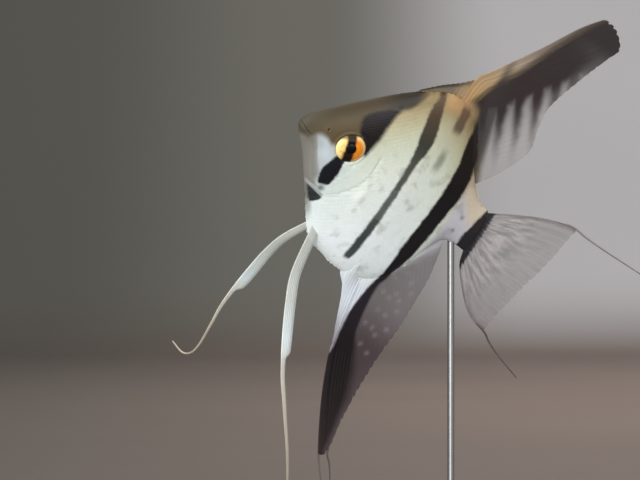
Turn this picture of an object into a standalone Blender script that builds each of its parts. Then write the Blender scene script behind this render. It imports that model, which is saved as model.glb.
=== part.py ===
"""Life-size display model of a freshwater angelfish, held by a small stand.

World frame: metres, +Z up, origin under the middle of the stand's base, which rests on z = 0.
The fish is drawn in its own frame in body lengths: forward from the root of the tail fin,
towards its left side, and up. One empty carries its pose. The body is one loft, parted by
thin cuts; every fin is a thin panel between four edge curves, trimmed to clear the body.
"""

import math

import bmesh
import bpy
import numpy as np
from mathutils import Matrix, Vector

# Driving dimensions, in metres.
BODY_LENGTH = 0.075
GAP = 0.0003
FIN_ROOT_THICKNESS = 0.0014
FIN_EDGE_THICKNESS = 0.0006
FILAMENT_RADIUS = 0.0004
BASE_RADIUS = 0.038
BASE_THICKNESS = 0.006
BASE_BEVEL = 0.0012
ROD_RADIUS = 0.0011
COLLAR_RADIUS = 0.0042
COLLAR_HEIGHT = 0.0035

# Pose of the fish on the stand.
BODY_CENTRE = Vector((-0.009, -0.008, 0.1125))
HEADING = math.radians(213.6)
HEAD_UP = math.radians(23.9)
BANK = math.radians(-23.4)

# From here on, sizes are in body lengths: (forward, up) in the mid plane of the fish.
CUT = GAP / BODY_LENGTH
SNOUT = 1.015
TAIL_ROOT = -0.015
KEEL_SHARPNESS = 1.2
RING_SIDES = 28
STATIONS = 38

BACK_LINE = [(-0.015, 0.093), (0.06, 0.122), (0.127, 0.185), (0.20, 0.297), (0.28, 0.412),
             (0.355, 0.455), (0.45, 0.466), (0.56, 0.425), (0.67, 0.360), (0.785, 0.275),
             (0.89, 0.190), (0.985, 0.110), (1.015, 0.074)]
BELLY_LINE = [(-0.015, -0.104), (0.05, -0.096), (0.11, -0.106), (0.15, -0.160), (0.21, -0.285),
              (0.27, -0.370), (0.34, -0.412), (0.45, -0.428), (0.58, -0.402), (0.69, -0.355),
              (0.784, -0.243), (0.855, -0.153), (0.93, -0.056), (1.015, 0.030)]
HALF_WIDTH_LINE = [(-0.015, 0.018), (0.15, 0.034), (0.30, 0.055), (0.45, 0.077), (0.58, 0.086),
                   (0.70, 0.086), (0.80, 0.079), (0.90, 0.060), (0.97, 0.041), (1.015, 0.024)]
WIDEST_LINE = [(-0.015, -0.005), (0.20, 0.010), (0.40, 0.010), (0.60, 0.015), (0.79, 0.055),
               (0.90, 0.062), (1.015, 0.052)]

EYE_CENTRE = (0.781, 0.054, 0.071)
EYE_RADIUS = 0.079
EYE_DEPTH = 0.045
EYE_MARGIN = 0.012

GILL_BACK = 0.635
GILL_HEIGHT = 0.03
GILL_CURVE_UP = 0.45
GILL_CURVE_DOWN = 3.2
GILL_LOWEST = -0.36
GILL_COVER_LENGTH = 0.085
GILL_COVER_TOP = 0.165
GILL_COVER_BOTTOM = -0.155
GILL_COVER_INNER = 0.045
MOUTH_CORNER = (0.962, 0.026)
LIPS = 0.052
TRUNK_CUT = 0.38
STALK_CUT = 0.125
REACH = 1.6

# Paths of the feeler-like pelvic fins (forward, side, up), and their widths from root to tip.
PELVIC_LEFT = [(0.690, 0.028, -0.325), (0.693, 0.086, -0.505), (0.668, 0.134, -0.620),
               (0.612, 0.200, -0.778), (0.580, 0.225, -0.835), (0.550, 0.247, -0.920),
               (0.484, 0.289, -1.037), (0.409, 0.337, -1.162), (0.330, 0.390, -1.310)]
PELVIC_RIGHT = [(0.697, -0.028, -0.325), (0.724, -0.092, -0.430), (0.728, -0.142, -0.530),
                (0.722, -0.190, -0.660), (0.711, -0.250, -0.832), (0.695, -0.275, -0.940),
                (0.678, -0.298, -1.035), (0.678, -0.320, -1.092), (0.700, -0.350, -1.115),
                (0.742, -0.400, -1.100)]
PELVIC_WIDTHS = [(0.0, 0.052), (0.12, 0.046), (0.40, 0.036), (0.50, 0.022), (0.75, 0.014),
                 (1.0, 0.008)]


# ---- curves and frames ----

def through(points):
    """A smooth curve through the points, as a function of 0 to 1 along its length."""
    knots = [Vector(point) for point in points]
    spans = [(b - a).length for a, b in zip(knots, knots[1:])]
    marks = np.concatenate([[0.0], np.cumsum(spans)]) / sum(spans)
    ends = [2 * knots[0] - knots[1], *knots, 2 * knots[-1] - knots[-2]]

    def at_fraction(t):
        i = min(max(int(np.searchsorted(marks, t)) - 1, 0), len(spans) - 1)
        u = (t - marks[i]) / (marks[i + 1] - marks[i])
        a, b, c, d = ends[i:i + 4]
        bend = (2 * a - 5 * b + 4 * c - d) * u * u + (3 * b - a - 3 * c + d) * u ** 3
        return 0.5 * (2 * b + (c - a) * u + bend)

    return at_fraction


def profile(points):
    """Height as a function of the forward position, read from a smooth curve."""
    curve = through(points)
    samples = [curve(t) for t in np.linspace(0.0, 1.0, 300)]
    forward = [sample.x for sample in samples]
    height = [sample.y for sample in samples]
    return lambda x: np.interp(x, forward, height)


back = profile(BACK_LINE)
belly = profile(BELLY_LINE)
half_width = profile(HALF_WIDTH_LINE)
widest = profile(WIDEST_LINE)


def at(forward, side, up):
    """A point of the fish's own frame, in metres from the body's centre."""
    return Vector((forward - 0.5, side, up)) * BODY_LENGTH


def pose():
    """The turn and place of the fish on its stand."""
    turn = (Matrix.Rotation(HEADING, 4, "Z") @ Matrix.Rotation(-HEAD_UP, 4, "Y")
            @ Matrix.Rotation(BANK, 4, "X"))
    return Matrix.Translation(BODY_CENTRE) @ turn


# ---- scene helpers ----

def clear_scene():
    for obj in list(bpy.data.objects):
        bpy.data.objects.remove(obj, do_unlink=True)


def new_collection(name):
    collection = bpy.data.collections.new(name)
    bpy.context.scene.collection.children.link(collection)
    return collection


def new_material(name, colour, roughness, metallic=0.0):
    material = bpy.data.materials.new(name)
    material.use_nodes = True
    shader = material.node_tree.nodes["Principled BSDF"]
    shader.inputs["Base Color"].default_value = (*colour, 1.0)
    shader.inputs["Roughness"].default_value = roughness
    shader.inputs["Metallic"].default_value = metallic
    return material


def closed_mesh(name, mesh):
    """Store a bmesh whose faces are turned outwards."""
    bmesh.ops.recalc_face_normals(mesh, faces=mesh.faces)
    data = bpy.data.meshes.new(name)
    mesh.to_mesh(data)
    mesh.free()
    return data


def add_part(name, data, material, parent=None):
    """Put a sub-part in the model's collection, shaded smooth up to a sharp edge."""
    part = bpy.data.objects.new(name, data)
    PARTS.objects.link(part)
    data.materials.clear()
    data.materials.append(material)
    part.parent = parent
    if isinstance(data, bpy.types.Mesh):
        data.shade_smooth()
        data.set_sharp_from_angle(angle=math.radians(40.0))
    return part


def add_guide(name, data, parent=None):
    """Put a cutter or region in the guides' collection, out of the render."""
    guide = bpy.data.objects.new(name, data)
    GUIDES.objects.link(guide)
    guide.parent = parent
    guide.hide_render = True
    guide.display_type = "WIRE"
    return guide


def boolean(part, guide, operation):
    modifier = part.modifiers.new(operation.lower() + "_" + guide.name, "BOOLEAN")
    modifier.operation = operation
    modifier.object = guide
    modifier.solver = "EXACT"


# ---- shapes ----

def section(x, grow):
    """One ring of the body: a tall lens with a blunt keel above and below."""
    top = back(x) + grow
    bottom = belly(x) - grow
    half = half_width(x) + grow
    middle = widest(x)
    ring = []
    for k in range(RING_SIDES):
        angle = 2 * math.pi * k / RING_SIDES
        side = math.copysign(abs(math.cos(angle)) ** KEEL_SHARPNESS, math.cos(angle))
        rise = math.sin(angle)
        span = top - middle if rise > 0 else middle - bottom
        ring.append((half * side, middle + rise * span))
    return ring


def station_places():
    """Forward positions of the rings, closest where the outline climbs."""
    fine = np.linspace(TAIL_ROOT, SNOUT, 400)
    climb = np.abs(np.diff(back(fine))) + np.abs(np.diff(belly(fine)))
    length = np.concatenate([[0.0], np.cumsum(climb + 1.5 * np.diff(fine))])
    return np.interp(np.linspace(0.0, length[-1], STATIONS), length, fine)


def body_mesh(name, grow=0.0):
    """The whole body from snout to tail root, optionally grown all round."""
    mesh = bmesh.new()
    places = station_places()
    places[0] -= grow
    places[-1] += grow
    rings = []
    for x in places:
        inside = min(max(x, TAIL_ROOT), SNOUT)
        rings.append([mesh.verts.new(at(x, side, up)) for side, up in section(inside, grow)])
    for ring, following in zip(rings, rings[1:]):
        for k in range(RING_SIDES):
            after = (k + 1) % RING_SIDES
            mesh.faces.new((ring[k], ring[after], following[after], following[k]))
    mesh.faces.new(rings[0])
    mesh.faces.new(rings[-1])
    return closed_mesh(name, mesh)


def prism(name, outline, near=-REACH, far=REACH):
    """A region of the side view, extruded across the fish."""
    mesh = bmesh.new()
    bottom = [mesh.verts.new(at(forward, near, up)) for forward, up in outline]
    floor = mesh.faces.new(bottom)
    raised = bmesh.ops.extrude_face_region(mesh, geom=[floor])
    moved = [item for item in raised["geom"] if isinstance(item, bmesh.types.BMVert)]
    bmesh.ops.translate(mesh, verts=moved, vec=Vector((0, (far - near) * BODY_LENGTH, 0)))
    return closed_mesh(name, mesh)


def ellipsoid(name, centre, radius, depth):
    mesh = bmesh.new()
    bmesh.ops.create_uvsphere(mesh, u_segments=20, v_segments=10, radius=1.0)
    size = Vector((radius, radius, depth)) * BODY_LENGTH
    bmesh.ops.scale(mesh, vec=size, verts=mesh.verts)
    turn = Matrix.Rotation(math.radians(-90.0), 3, "X")
    bmesh.ops.rotate(mesh, matrix=turn, verts=mesh.verts)
    bmesh.ops.translate(mesh, vec=at(*centre), verts=mesh.verts)
    return closed_mesh(name, mesh)


def fin_mesh(name, base, leading, margin, trailing, frame, rays=12, rows=8):
    """A fin as a patch between four edge curves, thicker at its root than at its margin.

    The curves are drawn as (forward, up); frame turns them into the fish's own frame.
    """
    base, leading = through(base), through(leading)
    margin, trailing = through(margin), through(trailing)

    def centre(r, s):
        across = (1 - s) * base(r) + s * margin(r)
        front = leading(s) - ((1 - s) * leading(0.0) + s * leading(1.0))
        rear = trailing(s) - ((1 - s) * trailing(0.0) + s * trailing(1.0))
        return across + (1 - r) * front + r * rear

    mesh = bmesh.new()
    sides = []
    for sign in (1, -1):
        grid = []
        for i in range(rays + 1):
            column = []
            for j in range(rows + 1):
                s = j / rows
                thickness = FIN_ROOT_THICKNESS + s * (FIN_EDGE_THICKNESS - FIN_ROOT_THICKNESS)
                place = centre(i / rays, s) * BODY_LENGTH
                local = Vector((place.x, sign * thickness / 2, place.y))
                column.append(mesh.verts.new(frame @ local))
            grid.append(column)
        sides.append(grid)
    for grid in sides:
        for i in range(rays):
            for j in range(rows):
                mesh.faces.new((grid[i][j], grid[i + 1][j], grid[i + 1][j + 1], grid[i][j + 1]))
    border = [(i, 0) for i in range(rays)] + [(rays, j) for j in range(rows)]
    border += [(i, rows) for i in range(rays, 0, -1)] + [(0, j) for j in range(rows, 0, -1)]
    near, far = sides
    for (i, j), (k, m) in zip(border, border[1:] + border[:1]):
        mesh.faces.new((near[i][j], near[k][m], far[k][m], far[i][j]))
    return closed_mesh(name, mesh)


def median_frame():
    """The frame of a fin that stands in the mid plane."""
    return Matrix.Translation(at(0.0, 0.0, 0.0))


def ribbon_mesh(name, path, widths, thickness, first=0.0, last=1.0, lengths=8):
    """A flat blade with rounded edges along a path, its faces turned to the fish's sides."""
    centre, width = through(path), profile(widths)
    mesh = bmesh.new()
    rings = []
    for i in range(lengths + 1):
        t = first + (last - first) * i / lengths
        ahead = (centre(min(t + 0.01, 1.0)) - centre(max(t - 0.01, 0.0))).normalized()
        wide = ahead.cross(Vector((0, 1, 0))).normalized()
        thick = wide.cross(ahead)
        ring = []
        for k in range(8):
            angle = 2 * math.pi * k / 8
            offset = wide * (math.cos(angle) * width(t) * BODY_LENGTH / 2)
            offset += thick * (math.sin(angle) * thickness / 2)
            ring.append(mesh.verts.new(at(*centre(t)) + offset))
        rings.append(ring)
    for ring, following in zip(rings, rings[1:]):
        for k in range(8):
            mesh.faces.new((ring[k], ring[(k + 1) % 8], following[(k + 1) % 8], following[k]))
    mesh.faces.new(rings[0])
    mesh.faces.new(rings[-1])
    return closed_mesh(name, mesh)


def filament_curve(name, path, steps=9):
    """A bristle-thin ray that tapers to its tip."""
    centre = through([at(*point) for point in path])
    data = bpy.data.curves.new(name, "CURVE")
    data.dimensions = "3D"
    data.bevel_depth = FILAMENT_RADIUS
    data.bevel_resolution = 1
    data.use_fill_caps = True
    spline = data.splines.new("POLY")
    spline.points.add(steps)
    for i, point in enumerate(spline.points):
        t = i / steps
        point.co = (*centre(t), 1.0)
        point.radius = 1.0 - 0.3 * t
    return data


# ---- the body ----

def gill_line(up):
    """Rear edge of the gill cover, and of the head above and below it."""
    rise = up - GILL_HEIGHT
    curve = GILL_CURVE_UP if rise > 0 else GILL_CURVE_DOWN
    return GILL_BACK + curve * rise * rise


def gill_edge(shift, low=GILL_LOWEST, high=0.6, steps=20):
    heights = [low + (high - low) * i / steps for i in range(steps + 1)]
    return [(gill_line(up) + shift, up) for up in heights]


def cross_cut(rear, front):
    """Side-view outline of the stretch between two plain cross cuts."""
    return [(rear, -0.8), (front, -0.8), (front, 0.8), (rear, 0.8)]


def head_region():
    return [*gill_edge(CUT / 2), (1.2, 0.6), (1.2, GILL_LOWEST)]


def cheek_line(up):
    """Front edge of the gill cover: it keeps a steady length but passes behind the eye."""
    front = gill_line(up) + GILL_COVER_LENGTH
    reach = EYE_RADIUS + EYE_MARGIN
    rise = up - EYE_CENTRE[2]
    if abs(rise) < reach:
        front = min(front, EYE_CENTRE[0] - math.sqrt(reach * reach - rise * rise))
    return front


def gill_cover_region(grow=0.0):
    """Outline of a gill cover: bowed rear edge, and a front edge along the cheek."""
    low = GILL_COVER_BOTTOM - grow
    high = GILL_COVER_TOP + grow
    rear = gill_edge(CUT / 2 - 2 * grow, low, high, 10)
    front = [(cheek_line(up) + grow, up) for _, up in rear]
    return rear + front[::-1]


def lower_jaw_region(grow=0.0):
    """Side-view outline of the lower jaw, from the lips back to its hinge and chin."""
    return [(MOUTH_CORNER[0] - grow, MOUTH_CORNER[1]), (0.905 - grow, -0.020),
            (0.880 - grow, -0.095 - grow), (1.10, -0.095 - grow), (1.10, LIPS - CUT / 2 + grow)]


def upper_jaw_region(grow=0.0):
    """Side-view outline of the upper lip and jaw."""
    return [(MOUTH_CORNER[0] - grow, MOUTH_CORNER[1] + CUT - grow), (1.10, LIPS + CUT / 2 - grow),
            (1.10, 0.14), (0.995 - grow, 0.14), (0.982 - grow, 0.085)]


def make_head(fish):
    skin = new_material("head_skin", (0.55, 0.52, 0.40), 0.42)
    head = add_part("head", body_mesh("head"), skin, fish)
    boolean(head, add_guide("head_region", prism("head_region", head_region()), fish), "INTERSECT")
    for jaw, region in (("lower", lower_jaw_region(CUT)), ("upper", upper_jaw_region(CUT))):
        name = jaw + "_jaw_room"
        boolean(head, add_guide(name, prism(name, region), fish), "DIFFERENCE")
    for side, sign in (("left", 1), ("right", -1)):
        name = "gill_room_" + side
        near, far = sorted((sign * (GILL_COVER_INNER - CUT), sign * REACH))
        room = prism(name, gill_cover_region(CUT), near, far)
        boolean(head, add_guide(name, room, fish), "DIFFERENCE")
        name = "eye_socket_" + side
        centre = (EYE_CENTRE[0], sign * EYE_CENTRE[1], EYE_CENTRE[2])
        socket = ellipsoid(name, centre, EYE_RADIUS + CUT, EYE_DEPTH + CUT)
        boolean(head, add_guide(name, socket, fish), "DIFFERENCE")


def make_jaws(fish):
    skin = new_material("jaw_skin", (0.34, 0.27, 0.20), 0.45)
    for jaw, region in (("lower", lower_jaw_region()), ("upper", upper_jaw_region())):
        part = add_part(jaw + "_jaw", body_mesh(jaw + "_jaw"), skin, fish)
        name = jaw + "_jaw_region"
        boolean(part, add_guide(name, prism(name, region), fish), "INTERSECT")


def make_gill_covers(fish):
    skin = new_material("gill_cover_skin", (0.80, 0.82, 0.80), 0.30)
    for side, sign in (("left", 1), ("right", -1)):
        cover = add_part("gill_cover_" + side, body_mesh("gill_cover_" + side), skin, fish)
        near, far = sorted((sign * GILL_COVER_INNER, sign * REACH))
        name = "gill_cover_region_" + side
        region = prism(name, gill_cover_region(), near, far)
        boolean(cover, add_guide(name, region, fish), "INTERSECT")


def make_eyes(fish):
    iris = new_material("eye_iris", (0.90, 0.62, 0.22), 0.12)
    for side, sign in (("left", 1), ("right", -1)):
        name = "eye_" + side
        centre = (EYE_CENTRE[0], sign * EYE_CENTRE[1], EYE_CENTRE[2])
        add_part(name, ellipsoid(name, centre, EYE_RADIUS, EYE_DEPTH), iris, fish)


def make_trunk(fish):
    skin = new_material("trunk_skin", (0.82, 0.85, 0.82), 0.32)
    front = [*gill_edge(-CUT / 2), (TRUNK_CUT, 0.6), (TRUNK_CUT, -0.5)]
    rear = cross_cut(STALK_CUT + CUT, TRUNK_CUT - CUT)
    for name, outline in (("trunk_front", front), ("trunk_rear", rear)):
        part = add_part(name, body_mesh(name), skin, fish)
        region = add_guide(name + "_region", prism(name + "_region", outline), fish)
        boolean(part, region, "INTERSECT")


def make_tail_stalk(fish):
    skin = new_material("tail_stalk_skin", (0.86, 0.84, 0.76), 0.34)
    stalk = add_part("tail_stalk", body_mesh("tail_stalk"), skin, fish)
    region = prism("tail_stalk_region", cross_cut(-0.2, STALK_CUT))
    boolean(stalk, add_guide("tail_stalk_region", region, fish), "INTERSECT")


# ---- the fins ----

def make_dorsal_fin(fish, clearance):
    skin = new_material("dorsal_fin_skin", (0.16, 0.12, 0.10), 0.45)
    spiny = {
        "base": [(0.625, 0.375), (0.56, 0.405), (0.48, 0.440), (0.405, 0.440)],
        "leading": [(0.625, 0.375), (0.600, 0.414)],
        "margin": [(0.600, 0.414), (0.53, 0.470), (0.45, 0.523), (0.402, 0.562)],
        "trailing": [(0.405, 0.440), (0.402, 0.562)],
    }
    soft = {
        "base": [(0.400, 0.440), (0.31, 0.410), (0.22, 0.300), (0.135, 0.165)],
        "leading": [(0.400, 0.440), (0.397, 0.565), (0.35, 0.63), (0.21, 0.812), (0.10, 0.970),
                    (0.015, 1.062)],
        "margin": [(0.015, 1.062), (-0.06, 1.045), (-0.130, 0.980), (-0.105, 0.915),
                   (-0.04, 0.77), (0.015, 0.62), (0.008, 0.52), (-0.020, 0.41), (0.03, 0.29),
                   (0.085, 0.215)],
        "trailing": [(0.135, 0.165), (0.085, 0.215)],
    }
    for name, edges in (("dorsal_fin_spines", spiny), ("dorsal_fin_sail", soft)):
        part = add_part(name, fin_mesh(name, **edges, frame=median_frame()), skin, fish)
        boolean(part, clearance, "DIFFERENCE")


def make_anal_fin(fish, clearance):
    skin = new_material("anal_fin_skin", (0.22, 0.18, 0.22), 0.45)
    spiny = {
        "base": [(0.470, -0.400), (0.42, -0.400), (0.372, -0.390)],
        "leading": [(0.470, -0.400), (0.452, -0.440)],
        "margin": [(0.452, -0.440), (0.42, -0.470), (0.39, -0.520), (0.35, -0.610),
                   (0.302, -0.727)],
        "trailing": [(0.372, -0.390), (0.345, -0.540), (0.302, -0.727)],
    }
    soft = {
        "base": [(0.366, -0.390), (0.29, -0.350), (0.22, -0.240), (0.115, -0.085)],
        "leading": [(0.366, -0.390), (0.339, -0.540), (0.294, -0.735), (0.25, -0.850),
                    (0.19, -0.970), (0.12, -1.090), (0.062, -1.180)],
        "margin": [(0.062, -1.180), (0.030, -1.150), (0.048, -1.03), (0.058, -0.92),
                   (0.065, -0.80), (0.068, -0.66), (0.060, -0.52), (0.062, -0.39),
                   (0.065, -0.27), (0.088, -0.150)],
        "trailing": [(0.115, -0.085), (0.088, -0.150)],
    }
    for name, edges in (("anal_fin_spines", spiny), ("anal_fin_sail", soft)):
        part = add_part(name, fin_mesh(name, **edges, frame=median_frame()), skin, fish)
        boolean(part, clearance, "DIFFERENCE")
    front = [(0.051, 0.0, -1.190), (0.027, 0.004, -1.223), (-0.005, 0.010, -1.262),
             (-0.055, 0.020, -1.318)]
    rear = [(0.024, 0.0, -1.158), (-0.012, -0.004, -1.192), (-0.050, -0.010, -1.236),
            (-0.080, -0.016, -1.275)]
    add_part("anal_filament_front", filament_curve("anal_filament_front", front), skin, fish)
    add_part("anal_filament_rear", filament_curve("anal_filament_rear", rear), skin, fish)


def make_tail_fin(fish):
    skin = new_material("tail_fin_skin", (0.52, 0.50, 0.47), 0.42)
    root = TAIL_ROOT - CUT
    edges = {
        "base": [(root, 0.093), (root, 0.0), (root, -0.104)],
        "leading": [(root, 0.093), (-0.14, 0.145), (-0.23, 0.177), (-0.32, 0.202), (-0.405, 0.218)],
        "margin": [(-0.405, 0.218), (-0.425, 0.150), (-0.418, 0.080), (-0.390, -0.02),
                   (-0.362, -0.12), (-0.340, -0.22), (-0.320, -0.30), (-0.312, -0.365)],
        "trailing": [(root, -0.104), (-0.030, -0.165), (-0.095, -0.240), (-0.17, -0.310),
                     (-0.24, -0.350), (-0.312, -0.365)],
    }
    panel = fin_mesh("tail_fin", **edges, frame=median_frame(), rays=14, rows=8)
    add_part("tail_fin", panel, skin, fish)
    upper = [(-0.411, 0.0, 0.216), (-0.50, 0.006, 0.203), (-0.62, 0.012, 0.193),
             (-0.76, 0.010, 0.184)]
    lower = [(-0.317, 0.0, -0.369), (-0.375, -0.006, -0.407), (-0.45, -0.014, -0.438),
             (-0.56, -0.020, -0.472)]
    add_part("tail_filament_upper", filament_curve("tail_filament_upper", upper), skin, fish)
    add_part("tail_filament_lower", filament_curve("tail_filament_lower", lower), skin, fish)


def make_pectoral_fins(fish, clearance):
    skin = new_material("pectoral_fin_skin", (0.78, 0.78, 0.74), 0.30)
    edges = {
        "base": [(0.0, 0.026), (0.0, 0.0), (0.0, -0.026)],
        "leading": [(0.0, 0.026), (-0.09, 0.062), (-0.175, 0.078)],
        "margin": [(-0.175, 0.078), (-0.212, 0.045), (-0.215, 0.0), (-0.190, -0.045),
                   (-0.135, -0.078)],
        "trailing": [(0.0, -0.026), (-0.065, -0.060), (-0.135, -0.078)],
    }
    for side, sign in (("left", 1), ("right", -1)):
        name = "pectoral_fin_" + side
        turn = (Matrix.Rotation(math.radians(-sign * 27.0), 4, "Z")
                @ Matrix.Rotation(math.radians(16.0), 4, "Y"))
        frame = Matrix.Translation(at(0.618, sign * 0.076, -0.105)) @ turn
        panel = fin_mesh(name, **edges, frame=frame, rays=8, rows=5)
        part = add_part(name, panel, skin, fish)
        boolean(part, clearance, "DIFFERENCE")


def make_pelvic_fins(fish, clearance):
    """Each feeler-like pelvic fin: a blade at the root, then a long thread in two lengths."""
    skin = new_material("pelvic_fin_skin", (0.90, 0.92, 0.92), 0.35)
    cut = 0.0035
    lengths = (("blade", 0.0, 0.42), ("thread", 0.42 + cut, 0.74), ("tip", 0.74 + cut, 1.0))
    for side, path in (("left", PELVIC_LEFT), ("right", PELVIC_RIGHT)):
        for stretch, first, last in lengths:
            name = "pelvic_fin_" + side + "_" + stretch
            blade = ribbon_mesh(name, path, PELVIC_WIDTHS, FIN_EDGE_THICKNESS, first, last)
            part = add_part(name, blade, skin, fish)
            if first == 0.0:
                boolean(part, clearance, "DIFFERENCE")


# ---- the stand ----

def turned_mesh(name, outline, place, sides=40):
    """A solid of revolution about a vertical axis, from (radius, height) points."""
    mesh = bmesh.new()
    spun = [mesh.verts.new((radius, 0.0, height)) for radius, height in outline]
    edges = [mesh.edges.new(pair) for pair in zip(spun, spun[1:])]
    bmesh.ops.spin(mesh, geom=[*spun, *edges], cent=(0, 0, 0), axis=(0, 0, 1),
                   angle=2 * math.pi, steps=sides, use_merge=True)
    bmesh.ops.remove_doubles(mesh, verts=mesh.verts, dist=0.00001)
    bmesh.ops.translate(mesh, vec=place, verts=mesh.verts)
    return closed_mesh(name, mesh)


def rod_place():
    """Where the rod stands: straight below the middle of the tail stalk."""
    held = pose() @ at(0.068, 0.0, float(belly(0.068)))
    return Vector((held.x, held.y, 0.0)), held.z


def make_stand(clearance):
    place, held_at = rod_place()
    board = new_material("stand_base_black", (0.05, 0.05, 0.055), 0.35)
    steel = new_material("stand_steel", (0.62, 0.62, 0.63), 0.28, 1.0)
    low, high = BASE_BEVEL / 2, BASE_THICKNESS
    outline = [(0.0, 0.0), (BASE_RADIUS - low, 0.0), (BASE_RADIUS, low),
               (BASE_RADIUS, high - BASE_BEVEL), (BASE_RADIUS - BASE_BEVEL, high), (0.0, high)]
    add_part("stand_base", turned_mesh("stand_base", outline, Vector((0, 0, 0))), board)
    floor = BASE_THICKNESS + GAP
    inner = ROD_RADIUS + GAP
    collar = [(inner, floor), (COLLAR_RADIUS, floor), (COLLAR_RADIUS, floor + COLLAR_HEIGHT / 2),
              (inner + 0.0008, floor + COLLAR_HEIGHT), (inner, floor + COLLAR_HEIGHT),
              (inner, floor)]
    add_part("stand_collar", turned_mesh("stand_collar", collar, place, 24), steel)
    rod = [(0.0, floor), (ROD_RADIUS, floor), (ROD_RADIUS, held_at + 0.0012),
           (0.0, held_at + 0.0012)]
    part = add_part("stand_rod", turned_mesh("stand_rod", rod, place, 16), steel)
    boolean(part, clearance, "DIFFERENCE")


def build():
    fish = bpy.data.objects.new("fish_pose", None)
    GUIDES.objects.link(fish)
    fish.matrix_world = pose()
    clearance = add_guide("body_clearance", body_mesh("body_clearance", CUT), fish)
    make_head(fish)
    make_jaws(fish)
    make_gill_covers(fish)
    make_eyes(fish)
    make_trunk(fish)
    make_tail_stalk(fish)
    make_dorsal_fin(fish, clearance)
    make_anal_fin(fish, clearance)
    make_tail_fin(fish)
    make_pectoral_fins(fish, clearance)
    make_pelvic_fins(fish, clearance)
    make_stand(clearance)


clear_scene()
PARTS = new_collection("freshwater_angelfish")
GUIDES = new_collection("guides")
build()
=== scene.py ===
# %% [markdown]
# # A freshwater angelfish, life size
#
# The model is a still museum fish on a rod: a tall thin body, sail-like fins, two long feelers.
# The solids that carry it come first, as a fixed frame. Everything below dresses them. One skin
# goes over the flesh, scales lie on the skin, thin ribbed fins replace the plain panels, and
# each surface gets a finish made of nodes.

# %% Load the frame
import math

import bmesh
import bpy
import numpy as np
from mathutils import Matrix, Vector


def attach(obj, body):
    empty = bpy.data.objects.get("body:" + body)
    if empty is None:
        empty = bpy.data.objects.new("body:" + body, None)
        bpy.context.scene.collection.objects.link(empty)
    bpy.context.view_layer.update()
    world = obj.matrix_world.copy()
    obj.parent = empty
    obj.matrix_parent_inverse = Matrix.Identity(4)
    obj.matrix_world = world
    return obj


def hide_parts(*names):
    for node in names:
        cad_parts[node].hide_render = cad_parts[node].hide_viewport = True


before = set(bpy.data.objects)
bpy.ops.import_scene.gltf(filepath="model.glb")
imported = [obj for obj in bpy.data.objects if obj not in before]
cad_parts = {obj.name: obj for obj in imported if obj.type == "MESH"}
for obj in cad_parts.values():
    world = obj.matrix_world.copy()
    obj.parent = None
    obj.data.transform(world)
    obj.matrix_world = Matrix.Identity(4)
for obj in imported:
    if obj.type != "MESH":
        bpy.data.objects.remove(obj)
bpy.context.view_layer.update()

print("nodes in the frame:", len(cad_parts))

# %% [markdown]
# ## The fish's own frame
#
# A fish is easiest to describe along its own body: forward from the root of the tail fin, towards
# its left side, and up, all in body lengths. Anatomy books give sizes this way, and it keeps each
# marking and fin readable. One turn and one place then carry every point on to the stand.

# %% The fish's own frame
BODY_LENGTH = 0.075
BODY_CENTRE = Vector((-0.009, -0.008, 0.1125))
HEADING = math.radians(213.6)
HEAD_UP = math.radians(23.9)
BANK = math.radians(-23.4)
TURN = (Matrix.Rotation(HEADING, 3, "Z") @ Matrix.Rotation(-HEAD_UP, 3, "Y")
        @ Matrix.Rotation(BANK, 3, "X"))
MILLIMETRE = 0.001 / BODY_LENGTH


def to_world(points):
    """Points in body lengths, (..., 3), as metres in the shared frame."""
    local = (np.asarray(points, float) - (0.5, 0.0, 0.0)) * BODY_LENGTH
    return local @ np.array(TURN).T + np.array(BODY_CENTRE)


def turned_to_world(directions):
    return np.asarray(directions, float) @ np.array(TURN).T


print("snout at", np.round(to_world((1.015, 0.0, 0.052)), 4))

# %% [markdown]
# ## Smooth curves
#
# Outlines of living things are smooth, and few points describe them well. A Catmull-Rom curve
# passes through each point that is given, which makes an outline easy to edit. A Bezier curve
# would need handles, and a polyline would show its corners.

# %% Smooth curves
PROFILE_SAMPLES = 300


def through(points):
    """A smooth curve through the points, as a function of 0 to 1 along its length."""
    knots = np.array(points, float)
    spans = np.linalg.norm(np.diff(knots, axis=0), axis=1)
    marks = np.concatenate([[0.0], np.cumsum(spans)]) / spans.sum()
    ends = np.vstack([2 * knots[0] - knots[1], knots, 2 * knots[-1] - knots[-2]])

    def at_fraction(t):
        t = np.asarray(t, float)
        i = np.clip(np.searchsorted(marks, t) - 1, 0, len(spans) - 1)
        u = ((t - marks[i]) / (marks[i + 1] - marks[i]))[..., None]
        a, b, c, d = ends[i], ends[i + 1], ends[i + 2], ends[i + 3]
        bend = (2 * a - 5 * b + 4 * c - d) * u * u + (3 * b - a - 3 * c + d) * u ** 3
        return 0.5 * (2 * b + (c - a) * u + bend)

    return at_fraction


def profile(points):
    """A second number as a function of the first, read from a smooth curve."""
    samples = through(points)(np.linspace(0.0, 1.0, PROFILE_SAMPLES))
    return lambda x: np.interp(x, samples[:, 0], samples[:, 1])


print("middle of a test curve:", through([(0.0, 0.0), (0.5, 1.0), (1.0, 0.0)])(0.5))

# %% [markdown]
# ## The body's outline
#
# Seen from the side an angelfish is almost a disc, and from above it is thin. Four lines say all
# of that: the back, the belly, the half width, and the height at which the body is widest. They
# give one body that can be lofted in one go. Separate blocks would have to be blended.

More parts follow.
